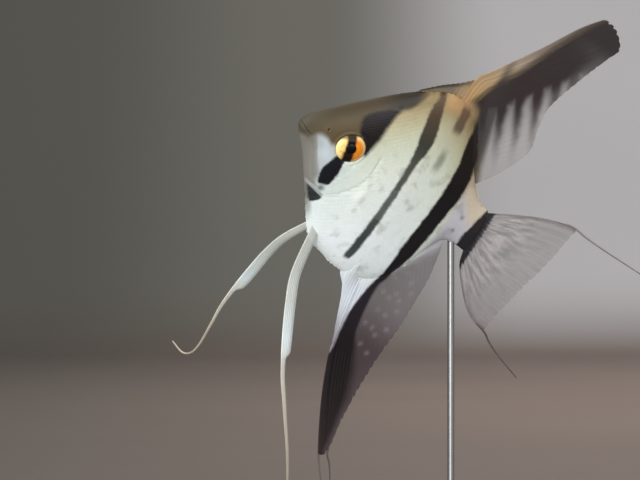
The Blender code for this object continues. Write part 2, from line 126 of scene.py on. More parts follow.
# %% The body's outline
BACK_LINE = [(-0.015, 0.093), (0.06, 0.122), (0.127, 0.185), (0.20, 0.297), (0.28, 0.412),
             (0.355, 0.455), (0.45, 0.466), (0.56, 0.425), (0.67, 0.360), (0.785, 0.275),
             (0.89, 0.190), (0.985, 0.110), (1.015, 0.074)]
BELLY_LINE = [(-0.015, -0.104), (0.05, -0.096), (0.11, -0.106), (0.15, -0.160), (0.21, -0.285),
              (0.27, -0.370), (0.34, -0.412), (0.45, -0.428), (0.58, -0.402), (0.69, -0.355),
              (0.784, -0.243), (0.855, -0.153), (0.93, -0.056), (1.015, 0.030)]
HALF_WIDTH_LINE = [(-0.015, 0.018), (0.15, 0.034), (0.30, 0.055), (0.45, 0.077), (0.58, 0.086),
                   (0.70, 0.086), (0.80, 0.079), (0.90, 0.060), (0.97, 0.041), (1.015, 0.024)]
WIDEST_LINE = [(-0.015, -0.005), (0.20, 0.010), (0.40, 0.010), (0.60, 0.015), (0.79, 0.055),
               (0.90, 0.062), (1.015, 0.052)]
back = profile(BACK_LINE)
belly = profile(BELLY_LINE)
half_width = profile(HALF_WIDTH_LINE)
widest = profile(WIDEST_LINE)
print("deepest body height in mm:", round(float(back(0.45) - belly(0.45)) * BODY_LENGTH * 1000, 1))

# %% [markdown]
# ## Camera and light
#
# A long lens from well back shows the fish the way a museum catalogue does, with almost no
# perspective. Broad area lamps give the soft light of a tank, one lamp lights the wall behind,
# and a pale world fills the shadows. A sun lamp would draw the thin fins as hard shadows.

# %% Camera and light
VIEW_WIDTH = 0.20296
VIEW_CENTRE = (-0.03009, 0.09411)
CAMERA_AWAY = 1.6
SENSOR_WIDTH = 36.0
LAMP_AIM = (-0.02, 0.0, 0.10)
# Each lamp's place, aim, width in metres, power in watts and colour.
LAMPS = {
    "key_lamp": ((-0.85, -1.25, 1.00), LAMP_AIM, 0.9, 31.0, (1.0, 0.98, 0.95)),
    "fill_lamp": ((1.1, -1.2, 0.45), LAMP_AIM, 1.1, 9.0, (0.93, 0.97, 1.0)),
    "low_lamp": ((-0.55, -1.60, 0.12), LAMP_AIM, 0.7, 20.0, (0.94, 0.98, 1.0)),
    "rim_lamp": ((0.5, 1.0, 1.3), LAMP_AIM, 0.8, 12.0, (1.0, 0.98, 0.96)),
    "wall_lamp": ((0.9, 1.3, 1.3), (0.15, 3.4, 0.35), 1.0, 30.0, (1.0, 0.99, 1.0)),
}
WORLD_COLOUR = (0.80, 0.82, 0.85, 1.0)
WORLD_STRENGTH = 0.56


def add_camera():
    data = bpy.data.cameras.new("catalogue_camera")
    data.sensor_width = SENSOR_WIDTH
    data.lens = SENSOR_WIDTH * CAMERA_AWAY / VIEW_WIDTH
    data.clip_end = 20.0
    camera = bpy.data.objects.new("catalogue_camera", data)
    camera.location = (VIEW_CENTRE[0], BODY_CENTRE.y - CAMERA_AWAY, VIEW_CENTRE[1])
    camera.rotation_euler = (math.radians(90.0), 0.0, 0.0)
    bpy.context.scene.collection.objects.link(camera)
    bpy.context.scene.camera = camera
    return camera


def add_lamp(name, place, aim, size, power, colour):
    data = bpy.data.lights.new(name, "AREA")
    data.shape = "DISK"
    data.size = size
    data.energy = power
    data.color = colour
    lamp = bpy.data.objects.new(name, data)
    lamp.location = place
    lamp.rotation_euler = (Vector(aim) - Vector(place)).to_track_quat("-Z", "Y").to_euler()
    bpy.context.scene.collection.objects.link(lamp)


def add_world():
    world = bpy.data.worlds.new("studio")
    world.use_nodes = True
    background = world.node_tree.nodes["Background"]
    background.inputs["Color"].default_value = WORLD_COLOUR
    background.inputs["Strength"].default_value = WORLD_STRENGTH
    bpy.context.scene.world = world


camera = add_camera()
for name, lamp in LAMPS.items():
    add_lamp(name, *lamp)
add_world()
bpy.context.scene.view_settings.view_transform = "Standard"
print("lens in mm:", round(camera.data.lens, 1))

# %% [markdown]
# ## A small language for finishes
#
# Scales, eyes and fins need patterns, and patterns are sums. Placing forty Math nodes by hand
# hides the idea, so an `Amount` stands for a number in a material, and Python's own operators
# add the nodes. Colours keep to Mix nodes. Anything else comes from one method, `node`, which
# takes the settings first and then what feeds the sockets.

# %% Adding nodes
class Tree:
    """Adds nodes to a shader or geometry tree."""

    def __init__(self, tree):
        self.tree = tree

    def node(self, kind, settings=None, inputs=None):
        node = self.tree.nodes.new(kind)
        for name, value in (settings or {}).items():
            if name == "stops":
                self.set_stops(node.color_ramp, value)
            elif name == "points":
                self.set_points(node.mapping, value)
            else:
                setattr(node, name, value)
        for key, value in (inputs or {}).items():
            self.feed(node.inputs[key], value)
        return node

    def feed(self, socket, value):
        """Link a socket to an amount or an output, or set it to a plain value."""
        source = getattr(value, "socket", value)
        if isinstance(source, bpy.types.NodeSocket):
            self.tree.links.new(source, socket)
        else:
            socket.default_value = source

    @staticmethod
    def set_stops(ramp, stops):
        while len(ramp.elements) > 1:
            ramp.elements.remove(ramp.elements[-1])
        for i, (position, colour) in enumerate(stops):
            element = ramp.elements[0] if i == 0 else ramp.elements.new(position)
            element.position = position
            element.color = colour

    @staticmethod
    def set_points(mapping, points):
        curve = mapping.curves[0]
        curve.points[0].location = points[0]
        curve.points[-1].location = points[-1]
        for place in points[1:-1]:
            curve.points.new(*place)
        mapping.extend = "HORIZONTAL"
        mapping.update()


print("a tree offers:", ", ".join(name for name in vars(Tree) if not name.startswith("_")))

# %% [markdown]
# ### Patterns
#
# Every marking is made of a few shapes: sums, ramps, smooth curves and noise. Each is one short
# method that adds a node or two and gives back a number or a colour, so a finish can be read
# line by line. The Geometry Nodes further on need none of them and use the plain tree.

# %% Patterns
class Patterns(Tree):
    """Adds the nodes of markings, as amounts and colours."""

    def maths(self, operation, *values):
        node = self.node("ShaderNodeMath", {"operation": operation}, dict(enumerate(values)))
        return Amount(self, node.outputs[0])

    def length(self, across, rise):
        """Length of a step across and up."""
        return self.maths("SQRT", across * across + rise * rise)

    def parts(self, vector):
        """The three numbers of a vector."""
        node = self.node("ShaderNodeSeparateXYZ", None, {0: vector})
        return [Amount(self, part) for part in node.outputs]

    def mix(self, share, first, second):
        """The first colour, turned into the second by its share."""
        settings = {"data_type": "RGBA", "clamp_factor": True}
        node = self.node("ShaderNodeMix", settings, {0: share, 6: first, 7: second})
        return node.outputs[2]

    def ramp(self, value, low, high, stops):
        """A colour read from stops given at values between low and high."""
        placed = [((at - low) / (high - low), colour) for at, colour in stops]
        share = (value - low) / (high - low)
        return self.node("ShaderNodeValToRGB", {"stops": placed}, {0: share}).outputs[0]

    def curve(self, value, points):
        """A number read from a smooth curve through (value, result) points."""
        points = sorted(points)
        values, results = zip(*points)
        low, high = min(values), max(values)
        least, most = min(results) - 0.02, max(results) + 0.02
        placed = [((v - low) / (high - low), (r - least) / (most - least)) for v, r in points]
        inputs = {"Value": (value - low) / (high - low)}
        node = self.node("ShaderNodeFloatCurve", {"points": placed}, inputs)
        return Amount(self, node.outputs[0]) * (most - least) + least

    def shaded(self, colour, amount):
        """The colour made lighter or darker by an amount about 1."""
        node = self.node("ShaderNodeVectorMath", {"operation": "SCALE"}, {0: colour, "Scale": amount})
        return node.outputs[0]

    def noise(self, vector, scale, detail=2.0, roughness=0.5):
        inputs = {"Vector": vector, "Scale": scale, "Detail": detail, "Roughness": roughness}
        return Amount(self, self.node("ShaderNodeTexNoise", None, inputs).outputs["Fac"])


print("patterns:", ", ".join(name for name in vars(Patterns) if not name.startswith("_")))

# %% [markdown]
# ### Numbers as amounts
#
# An `Amount` remembers its tree and its socket. `depth * 0.5 + cloud` then reads as a sum and
# becomes two nodes. Masks are amounts too, so `1 - mask` and the product of two masks work.

# %% Numbers as amounts
class Amount:
    """A number in a material. Sums and products of amounts add Math nodes."""

    def __init__(self, tree, socket):
        self.tree = tree
        self.socket = socket

    def __add__(self, other):
        return self.tree.maths("ADD", self, other)

    def __sub__(self, other):
        return self.tree.maths("SUBTRACT", self, other)

    def __mul__(self, other):
        return self.tree.maths("MULTIPLY", self, other)

    def __truediv__(self, other):
        return self.tree.maths("DIVIDE", self, other)

    def __rsub__(self, other):
        return self.tree.maths("SUBTRACT", other, self)

    __radd__ = __add__
    __rmul__ = __mul__

    def above(self, edge, soft):
        """0 below the edge and 1 above it, with a soft change between."""
        inputs = {"Value": self - edge, "From Min": -soft, "From Max": soft}
        node = self.tree.node("ShaderNodeMapRange", {"interpolation_type": "SMOOTHSTEP"}, inputs)
        return Amount(self.tree, node.outputs[0])

    def below(self, edge, soft):
        return 1 - self.above(edge, soft)

    def between(self, low, high, soft):
        return self.above(low, soft) * self.below(high, soft)

    def most(self, other):
        return self.tree.maths("MAXIMUM", self, other)

    def least(self, other):
        return self.tree.maths("MINIMUM", self, other)

    def wave(self):
        """0 to 1 and back over each turn of 2 pi."""
        return self.tree.maths("COSINE", self) * 0.5 + 0.5


print("operators of an amount: + - * /")

# %% [markdown]
# ### A finish
#
# A `Finish` is one material with one Principled shader. It knows the place of each point in the
# fish's own frame, so a marking is put where an anatomy book would put it.

# %% A finish
def paint(red, green, blue):
    """A colour given as on a paint chart, 0 to 255, for a colour socket."""
    def linear(value):
        share = value / 255
        return share / 12.92 if share <= 0.04045 else ((share + 0.055) / 1.055) ** 2.4
    return linear(red), linear(green), linear(blue), 1.0


class Finish(Patterns):
    """A material with one Principled shader, and the place of a point in the fish's frame."""

    def __init__(self, name):
        self.material = bpy.data.materials.new(name)
        self.material.use_nodes = True
        super().__init__(self.material.node_tree)
        self.shader = self.tree.nodes["Principled BSDF"]
        self.metres = self.node("ShaderNodeTexCoord").outputs["Object"]
        inputs = {"Vector": self.metres, "Location": to_world((0.0, 0.0, 0.0)),
                  "Rotation": (BANK, -HEAD_UP, HEADING), "Scale": (BODY_LENGTH,) * 3}
        self.place = self.node("ShaderNodeMapping", {"vector_type": "TEXTURE"}, inputs).outputs[0]
        self.x, self.y, self.z = self.parts(self.place)

    def attribute(self, name):
        """A named number that the piece's mesh carries."""
        node = self.node("ShaderNodeAttribute", {"attribute_name": name})
        return Amount(self, node.outputs["Fac"])

    def set(self, **values):
        for name, value in values.items():
            socket = name.replace("_", " ").title().replace("Ior", "IOR")
            self.feed(self.shader.inputs[socket], value)

    def bump(self, height, distance, strength=1.0):
        inputs = {"Height": height, "Distance": distance, "Strength": strength}
        self.feed(self.shader.inputs["Normal"], self.node("ShaderNodeBump", None, inputs).outputs[0])


print("a test colour:", [round(value, 3) for value in paint(214, 226, 226)])

# %% [markdown]
# ## The floor
#
# The floor isn't part of the model. It is a strip that rises behind the fish in a quarter circle. Its
# finish is grey plaster with a faint mottle, browner underfoot, and painted darker on the side that the
# fish looks to and underfoot, as painted shade where the lamps' light falls off.

# %% The floor
FLOOR_HALF_WIDTH = 4.0
FLOOR_FRONT = -3.5
BEND_START = 2.4
BEND_RADIUS = 1.0
WALL_TOP = 3.2
BEND_STEPS = 25


def floor_finish():
    finish = Finish("grey_plaster")
    across, away, _ = finish.parts(finish.metres)
    mottle = finish.noise(finish.metres, 3.0, 4.0)
    # Painted shade: the lamps' light falls off to the left and underfoot, so the plaster is painted darker
    # there.
    left = finish.mix(across.above(-0.16, 0.10), paint(78, 76, 69), paint(97, 95, 87))
    right = finish.mix(mottle, paint(160, 157, 157), paint(170, 167, 167))
    colour = finish.mix(across.above(0.062, 0.09), left, right)
    far_side = finish.mix(mottle, paint(94, 80, 72), paint(108, 94, 85))
    near = finish.mix(across.above(-0.10, 0.22), paint(70, 63, 55), far_side)
    colour = finish.mix(away.below(2.60, 0.16), colour, near)
    finish.set(base_color=colour, roughness=0.85)
    return finish.material


def make_floor():
    turns = np.linspace(0.0, math.pi / 2, BEND_STEPS)
    line = [(FLOOR_FRONT, 0.0), (0.0, 0.0)]
    line += [(BEND_START + BEND_RADIUS * math.sin(t), BEND_RADIUS * (1 - math.cos(t))) for t in turns]
    line.append((line[-1][0], WALL_TOP))
    mesh = bmesh.new()
    sides = [[mesh.verts.new((x, y, z)) for y, z in line] for x in (-FLOOR_HALF_WIDTH, FLOOR_HALF_WIDTH)]
    for i in range(len(line) - 1):
        mesh.faces.new((sides[0][i], sides[1][i], sides[1][i + 1], sides[0][i + 1]))
    data = bpy.data.meshes.new("studio_floor")
    mesh.to_mesh(data)
    mesh.free()
    data.shade_smooth()
    data.materials.append(floor_finish())
    floor = bpy.data.objects.new("studio_floor", data)
    bpy.context.scene.collection.objects.link(floor)
    return floor


floor = make_floor()
print("floor faces:", len(floor.data.polygons))

# %% [markdown]
# ## Markings
#
# An angelfish hides among roots, and its dark bars run straight through skin, scales, eye and
# fins. So the bars belong to the fish's frame and not to one piece: each has a front edge and a
# rear edge, given as forward positions at a few heights, and every finish that asks for a
# marking reads the same curves. A painted image would also work, but it could not be edited here.

# %% Where the bars run
BARS = {
    "nape": {"front": [(0.06, 0.720), (0.09, 0.738), (0.12, 0.762), (0.14, 0.778), (0.165, 0.790),
                       (0.195, 0.790), (0.225, 0.772), (0.255, 0.735), (0.30, 0.660)],
             "rear": [(0.06, 0.704), (0.10, 0.694), (0.15, 0.682), (0.22, 0.673), (0.29, 0.655)]},
    "cheek": {"front": [(-0.14, 0.806), (-0.122, 0.819), (-0.085, 0.832), (-0.04, 0.829),
                        (0.0, 0.818), (0.05, 0.806)],
              "rear": [(-0.14, 0.782), (-0.112, 0.771), (-0.086, 0.766), (0.0, 0.771), (0.05, 0.768)]},
    "side": {"front": [(-0.37, 0.508), (-0.30, 0.510), (-0.10, 0.505), (0.10, 0.500), (0.15, 0.503),
                       (0.20, 0.510), (0.25, 0.520), (0.30, 0.525), (0.35, 0.530), (0.42, 0.515),
                       (0.47, 0.510)],
             "rear": [(-0.37, 0.482), (-0.30, 0.470), (-0.10, 0.467), (0.10, 0.465), (0.15, 0.460),
                      (0.20, 0.445), (0.25, 0.443), (0.30, 0.450), (0.35, 0.465), (0.42, 0.480),
                      (0.47, 0.486)]},
    "rear": {"front": [(-1.20, 0.40), (-0.80, 0.34), (-0.75, 0.285), (-0.65, 0.300),
                       (-0.55, 0.310), (-0.45, 0.300), (-0.35, 0.285), (-0.20, 0.288),
                       (-0.10, 0.280), (0.0, 0.270), (0.10, 0.265), (0.20, 0.265), (0.30, 0.282),
                       (0.40, 0.284), (0.48, 0.320)],
             "rear": [(-1.20, 0.02), (-1.0, 0.06), (-0.90, 0.09), (-0.80, 0.13), (-0.70, 0.185),
                      (-0.60, 0.240), (-0.50, 0.255), (-0.45, 0.262), (-0.35, 0.240),
                      (-0.25, 0.215), (-0.15, 0.200), (-0.05, 0.190), (0.05, 0.175),
                      (0.15, 0.166), (0.25, 0.182), (0.35, 0.204), (0.48, 0.190)]},
    "tail": {"front": [(-0.15, 0.020), (-0.10, 0.040), (-0.05, 0.050), (0.0, 0.040), (0.05, 0.025),
                       (0.10, 0.000)],
             "rear": [(-0.15, -0.030), (-0.10, -0.030), (0.0, -0.030), (0.10, -0.030)]},
}
print("bars:", ", ".join(BARS))

# %% [markdown]
# ### Bars, spots and layers
#
# Pigment sits in cells, so the edge of a bar is ragged and a spot is blurred. Two masks, a bar
# and a spot, make almost every marking. Colours go on like glazes: each layer has the share that
# it covers and its own colour, and the list reads from the first coat to the last.

# %% Bars, spots and layers
def mottled(finish):
    """The forward position with a ragged edge, as pigment cells give a bar."""
    coarse = finish.noise(finish.place, 26.0) - 0.5
    fine = finish.noise(finish.place, 110.0, 1.0) - 0.5
    return finish.x + coarse * 0.014 + fine * 0.008


def bar(finish, name, ragged, soft=0.008):
    front = finish.curve(finish.z, BARS[name]["front"])
    rear = finish.curve(finish.z, BARS[name]["rear"])
    return ragged.above(rear, soft) * ragged.below(front, soft)


def spot(finish, forward, up, radius, soft=0.010):
    """A round mask about a place of the side view, on both sides of the fish."""
    return finish.length(finish.x - forward, finish.z - up).below(radius, soft)


def below_back(finish):
    """Distance below the back line."""
    return finish.curve(finish.x, BACK_LINE) - finish.z


def layered(finish, colour, *layers):
    """A colour under layers of paint, each given as the share it covers and its colour."""
    for share, over in layers:
        colour = finish.mix(share, colour, over)
    return colour


print("edge points of the bars:", sum(len(edge) for edges in BARS.values() for edge in edges.values()))

# %% [markdown]
# ### Flank and head
#
# Under its bars the fish is silver, olive along the back and peach at the tail. These tones
# follow the outline, so a ramp reads them by the distance from the back line or the belly line. A
# ramp by height alone would give the tall back and the low tail stalk different colours.

# %% Flank and head
# Colour of the body by its distance below the back line.
FLANK_COLOURS = [(0.0, paint(136, 116, 80)), (0.05, paint(132, 116, 82)), (0.10, paint(164, 153, 119)),
                 (0.15, paint(182, 177, 147)), (0.23, paint(200, 203, 180)), (0.36, paint(221, 228, 215)),
                 (0.50, paint(232, 239, 233)), (0.70, paint(242, 250, 250))]
# Colour of the cheek and chin by its distance above the belly line.
SNOUT_COLOURS = [(0.0, paint(92, 88, 80)), (0.035, paint(124, 122, 114)), (0.055, paint(120, 119, 114)),
                 (0.075, paint(134, 135, 133)), (0.092, paint(168, 172, 173)),
                 (0.14, paint(172, 180, 184)), (0.17, paint(170, 178, 180)), (0.24, paint(134, 131, 118))]
# Lower edge of the dark brow, from the lips to the back.
BROW_LINE = [(1.02, 0.000), (0.985, 0.010), (0.965, 0.020), (0.947, 0.040), (0.928, 0.052),
             (0.896, 0.052), (0.855, 0.038), (0.81, 0.080), (0.775, 0.100), (0.752, 0.180),
             (0.72, 0.240), (0.70, 0.262), (0.665, 0.288), (0.62, 0.322), (0.585, 0.366),
             (0.55, 0.425)]


def flank_colour(finish):
    """Silvery white below, olive and tan towards the back, peach on the tail stalk."""
    cloud = finish.noise(finish.place, 9.0, 3.0) - 0.5
    depth = below_back(finish) + cloud * 0.05
    tan = finish.x.between(0.34, 0.475, 0.03) * depth.below(0.07, 0.03)
    stalk = finish.x.below(0.165, 0.03)
    stalk_colour = finish.mix(depth.above(0.10, 0.05), paint(206, 192, 170), paint(194, 192, 200))
    return layered(finish, finish.ramp(depth, 0.0, 0.75, FLANK_COLOURS),
                   (tan * 0.8, paint(182, 144, 100)),
                   (stalk, stalk_colour))


def brow_colour(finish, cloud):
    """Dark olive, nearly black behind the eye and greyer on the muzzle."""
    x = finish.x
    crest = below_back(finish).below(0.050, 0.035)
    return layered(finish, paint(88, 74, 53),
                   (x.below(0.73, 0.05), paint(58, 49, 40)),
                   (cloud + 0.5, paint(76, 66, 46)),
                   (crest * 0.8, paint(58, 51, 38)),
                   (x.above(0.95, 0.04) * 0.8, paint(72, 67, 54)),
                   (x.below(0.70, 0.05) * 0.6, paint(30, 25, 18)))


def head_colour(finish, colour):
    """Olive brow over a silver-blue cheek with a painted highlight, greyer towards the lips, and painted
    shade along the chin's lower edge.
    """
    x, z = finish.x, finish.z
    cloud = finish.noise(finish.place, 14.0, 3.0) - 0.5
    rise = z - finish.curve(x, BELLY_LINE) + cloud * 0.03
    # A painted highlight on the silver cheek.
    cheek_highlight = spot(finish, 0.862, -0.010, 0.024, 0.024)
    muzzle = (x + cloud * 0.08).above(0.935, 0.050)
    snout = layered(finish, finish.ramp(rise, 0.0, 0.25, SNOUT_COLOURS),
                    (cheek_highlight * 0.4, paint(192, 202, 210)),
                    (muzzle * 0.90, paint(88, 84, 72)))
    breast = x.above(0.70, 0.09) * z.below(0.03, 0.10)
    fin_root = spot(finish, 0.607, -0.107, 0.008, 0.022)
    # Painted shade along the chin's lower edge, where the head turns away from the light.
    chin = rise.below(0.030, 0.018) * x.above(0.750, 0.030)
    brow = z.above(finish.curve(x, BROW_LINE) + cloud * 0.02, 0.018) * x.above(0.56, 0.05)
    return layered(finish, colour,
                   (breast * 0.60, paint(180, 194, 195)),
                   (fin_root * 0.35, paint(186, 166, 142)),
                   (x.above(0.815, 0.03), snout),
                   (chin * 0.7, paint(120, 119, 113)),
                   (brow, brow_colour(finish, cloud)))


print("tones of flank and snout:", len(FLANK_COLOURS), "and", len(SNOUT_COLOURS))

# %% [markdown]
# ### The dark bars
#
# The bars go over the flank and head. Their own colour changes with height: brown near the back,
# blue-black lower down. A few short marks stand between them. They are cut from the same ragged
# forward position, so they look like broken pieces of a bar.

# %% The dark bars
SIDE_BAR_COLOURS = [(-0.36, paint(50, 60, 60)), (-0.25, paint(34, 38, 41)), (-0.10, paint(62, 70, 68)),
                    (0.10, paint(68, 70, 62)), (0.22, paint(38, 39, 33)), (0.33, paint(62, 48, 36)),
                    (0.42, paint(78, 60, 42))]
REAR_BAR_COLOURS = [(-1.15, paint(44, 32, 34)), (-0.90, paint(22, 16, 19)), (-0.70, paint(14, 10, 14)),
                    (-0.50, paint(26, 21, 32)), (-0.20, paint(26, 26, 29)), (0.10, paint(20, 20, 21)),
                    (0.30, paint(30, 25, 22)), (0.42, paint(36, 26, 20))]


def rear_bar_colour(finish):
    return finish.ramp(finish.z, -1.2, 0.50, REAR_BAR_COLOURS)


def add_bars(finish, colour, ragged):
    """Every dark bar that crosses the body, and the short marks between the bars."""
    z, depth = finish.z, below_back(finish)
    side = bar(finish, "side", ragged) * z.above(-0.362, 0.010)
    blob = ragged.between(0.338, 0.388, 0.010) * z.between(0.33, 0.445, 0.02)
    smudge = ragged.between(0.348, 0.384, 0.012) * z.between(0.15, 0.24, 0.03)
    fleck = spot(finish, 0.103, 0.024, 0.007, 0.012).most(spot(finish, 0.109, -0.042, 0.006, 0.011))
    tail = bar(finish, "tail", ragged) * z.above(-0.155, 0.012)
    cheek = bar(finish, "cheek", ragged, 0.006) * z.below(0.05, 0.008)
    cheek = cheek * (z + (finish.x - 0.772) * 0.35).above(-0.124, 0.008)
    veil = bar(finish, "nape", ragged, 0.02) * depth.between(0.035, 0.085, 0.018)
    nape = bar(finish, "nape", ragged, 0.014) * z.above(0.06, 0.012) * depth.above(0.050, 0.018)
    return layered(finish, colour,
                   (side * 0.96, finish.ramp(z, -0.40, 0.50, SIDE_BAR_COLOURS)),
                   (bar(finish, "rear", ragged), rear_bar_colour(finish)),
                   (blob * 0.85, paint(82, 64, 52)),
                   (smudge * 0.6, paint(96, 100, 84)),
                   (fleck * 0.7, paint(78, 74, 80)),
                   (tail * 0.98, paint(26, 23, 28)),
                   (cheek, paint(14, 18, 23)),
                   (veil * 0.92, paint(34, 27, 26)),
                   (nape, paint(23, 17, 17)))


print("tones of the two long bars:", len(SIDE_BAR_COLOURS), "and", len(REAR_BAR_COLOURS))

# %% [markdown]
# ### The mouth, and all the markings
#
# The mouth gets painted light of its own: painted shadow in its folds and under the lip, and a painted
# highlight along the lip, which make a small head read as a head. Its folds are also in the skin's relief,
# but they are too shallow to throw these shadows. Freckles come from noise alone, where the flank is
# light.

# %% The mouth, and all the markings
THROAT_SHADOW = paint(38, 42, 44)


def add_mouth(finish, colour, ragged):
    """Painted shadow in the folds and under the lip, a dark patch on the throat, a painted highlight along
    the lip, and a dark streak on the right breast.
    """
    x, z = finish.x, finish.z
    lip_rise = z - (x - 0.771) * 0.234
    # Painted shadow of the fold at the mouth's corner.
    fold = lip_rise.between(-0.168, -0.150, 0.008) * x.between(0.785, 0.835, 0.015)
    fold = (fold * 0.5).most(spot(finish, 0.789, -0.148, 0.014, 0.012) * 0.85)
    # Painted shadow under the lip.
    lip_shadow = lip_rise.below(-0.174, 0.004) * x.above(0.79, 0.02) * z.above(-0.24, 0.02)
    edge = (-0.188 - z).most(0.0) * 0.68 + 0.757
    throat = lip_rise.below(-0.177, 0.005) * z.above(-0.224, 0.006) * ragged.above(edge, 0.006)
    throat = throat * ((z + 0.172) * 0.8 + 0.827 - ragged).above(0.0, 0.006)
    # A painted highlight along the lip.
    gleam = lip_rise.between(-0.177, -0.165, 0.004) * x.between(0.762, 0.852, 0.008)
    streak = ragged.between(0.728, 0.758, 0.008) * z.between(-0.31, -0.255, 0.010)
    streak = streak * finish.y.below(-0.02, 0.01)
    return layered(finish, colour,
                   (fold, paint(72, 82, 82)),
                   (lip_shadow * 0.85, paint(104, 104, 96)),
                   (throat, THROAT_SHADOW),
                   (gleam * 0.9, paint(158, 158, 157)),
                   (streak * 0.9, THROAT_SHADOW))


def add_freckles(finish, colour):
    """Faint grey freckles on the flank and the tail stalk."""
    grain = finish.noise(finish.place, 15.0, 2.0).above(0.64, 0.10)
    where = finish.x.below(0.66, 0.05) * finish.z.below(0.24, 0.05)
    return finish.mix(grain * where * 0.34, colour, paint(122, 124, 106))


def body_colour(finish):
    """Flank and head first, freckles on them, and the dark marks over all."""
    colour = add_freckles(finish, head_colour(finish, flank_colour(finish)))
    ragged = mottled(finish)
    return add_mouth(finish, add_bars(finish, colour, ragged), ragged)


test = Finish("test_markings")
body_colour(test)
print("nodes that the body's markings take:", len(test.tree.nodes))
bpy.data.materials.remove(test.material)

# %% [markdown]
# ## The skin
#
# The skin is the fish's outer flesh, and it has to run from the lips to the tail without a seam.
# A remesh of the solids would round off the lips and the gill cover, so the skin is lofted anew
# from the body's own outlines, with rings packed closely about the head. Relief is then pressed
# in along the surface's normals: the eye sockets, the mouth, the nostrils, the gill cover and
# the bones of the cheek. It lies inside the solids by the depth of the scales.

# %% Places on the head
EYE_CENTRE = (0.7805, 0.052, 0.0612)
EYE_TILT = math.radians(64.0)
EYE_FLATNESS = 0.89
SOCKET_RADIUS = 0.0665
NOSTRIL = (0.905, 0.084)
PECTORAL_ROOT = (0.618, -0.105)
# Strokes of the side view, each from one (forward, up) to another.
MOUTH_LINE = ((1.015, 0.052), (0.968, 0.029))
JAW_FOLD = ((0.855, -0.156), (0.758, -0.179))
MUZZLE_FOLDS = [(((0.966, 0.028), (0.978, 0.070)), 0.0005),
                (((0.960, 0.024), (0.905, -0.030)), 0.0014),
                (((0.935, 0.040), (0.862, -0.070)), 0.0010)]


def gill_line(up):
    """Forward position of the gill cover's rear edge at a height."""
    rise = up - 0.03
    return 0.635 + np.where(rise > 0, 0.45, 3.2) * rise * rise


def beside(line, x, z):
    """Signed distance across a straight stroke of the side view, and distance from it."""
    (x0, z0), (x1, z1) = line
    reach = np.array((x1 - x0, z1 - z0))
    length = np.hypot(*reach)
    along = ((x - x0) * reach[0] + (z - z0) * reach[1]) / length ** 2
    across = ((x - x0) * reach[1] - (z - z0) * reach[0]) / length
    past = np.maximum(np.maximum(-along, along - 1.0), 0.0) * length
    return across, np.hypot(across, past)


def opening(x, z):
    """Distance from the middle of the eye, as if its slightly flat opening were round."""
    forward, rise = x - EYE_CENTRE[0], z - EYE_CENTRE[2]
    level = forward * math.sin(EYE_TILT) - rise * math.cos(EYE_TILT)
    upright = forward * math.cos(EYE_TILT) + rise * math.sin(EYE_TILT)
    return np.hypot(level, upright / EYE_FLATNESS)


print("from the eye to the nostril in mm:", round(float(opening(*NOSTRIL)) * BODY_LENGTH * 1000, 1))

# %% Skin relief
COAT_DEPTH = 0.15 * MILLIMETRE


def bell(distance, width):
    return np.exp(-(distance / width) ** 2)


def rise_over(value, edge, soft):
    """0 below the edge and 1 above it, with a soft change between."""
    t = np.clip((value - edge + soft) / (2 * soft), 0.0, 1.0)
    return t * t * (3 - 2 * t)


def ledge(distance, soft, fade):
    """1 just past an edge, and less the further from it."""
    return rise_over(distance, 0.0, soft) * np.exp(-np.maximum(distance, 0) / fade)


def eye_relief(x, z):
    """The socket, the raised rim about it, and the groove outside the rim."""
    eye = opening(x, z)
    socket = -0.040 * (1 - rise_over(eye, SOCKET_RADIUS - 0.003, 0.004))
    return socket + 0.0010 * bell(eye - 0.0715, 0.0045) - 0.0010 * bell(eye - 0.084, 0.006)


def gill_relief(x, z):
    """The gill cover's rear edge, and the edge of the cheek bone in front of it."""
    behind = gill_line(z) - x
    cover = 0.0022 * ledge(behind, 0.0030, 0.040) + 0.0006 * bell(behind + 0.013, 0.0045)
    on_cover = rise_over(z, -0.235, 0.02) * (1 - rise_over(z, 0.105, 0.055))
    bone = x - gill_line(z) - 0.088 - 0.25 * np.maximum(z, 0.0)
    cheek = 0.0010 * bell(bone, 0.0040) + 0.0008 * ledge(bone, 0.004, 0.03)
    on_cheek = rise_over(z, -0.165, 0.02) * (1 - rise_over(z, 0.02, 0.02))
    return -on_cover * cover - on_cheek * cheek


def mouth_relief(x, z):
    """The fold under the jaw, the slit between two raised lips, and the muzzle's folds."""
    across, stroke = beside(JAW_FOLD, x, z)
    under = bell(np.maximum(-across, 0.0), 0.02) * rise_over(-across, 0.0, 0.002)
    height = -0.0030 * under * bell(stroke, 0.022)
    across, stroke = beside(MOUTH_LINE, x, z)
    lips = bell(np.abs(across) - 0.0085, 0.0055) * bell(stroke - np.abs(across), 0.006)
    height += 0.0024 * lips - 0.0026 * bell(stroke, 0.0026)
    for line, depth in MUZZLE_FOLDS:
        height -= depth * bell(beside(line, x, z)[1], 0.0035)
    return height


def relief(x, z):
    """How far the skin stands out from the smooth loft, in body lengths."""
    nostril = np.hypot(x - NOSTRIL[0], z - NOSTRIL[1])
    fin_root = np.hypot(x - PECTORAL_ROOT[0], (z - PECTORAL_ROOT[1]) * 0.7)
    height = eye_relief(x, z) + gill_relief(x, z) + mouth_relief(x, z)
    height += 0.0016 * bell(nostril - 0.0085, 0.003) - 0.0095 * bell(nostril, 0.0042)
    return height + 0.0030 * bell(fin_root, 0.020)


print("socket depth in mm:", round(-float(relief(EYE_CENTRE[0], EYE_CENTRE[2])) * BODY_LENGTH * 1000, 2))

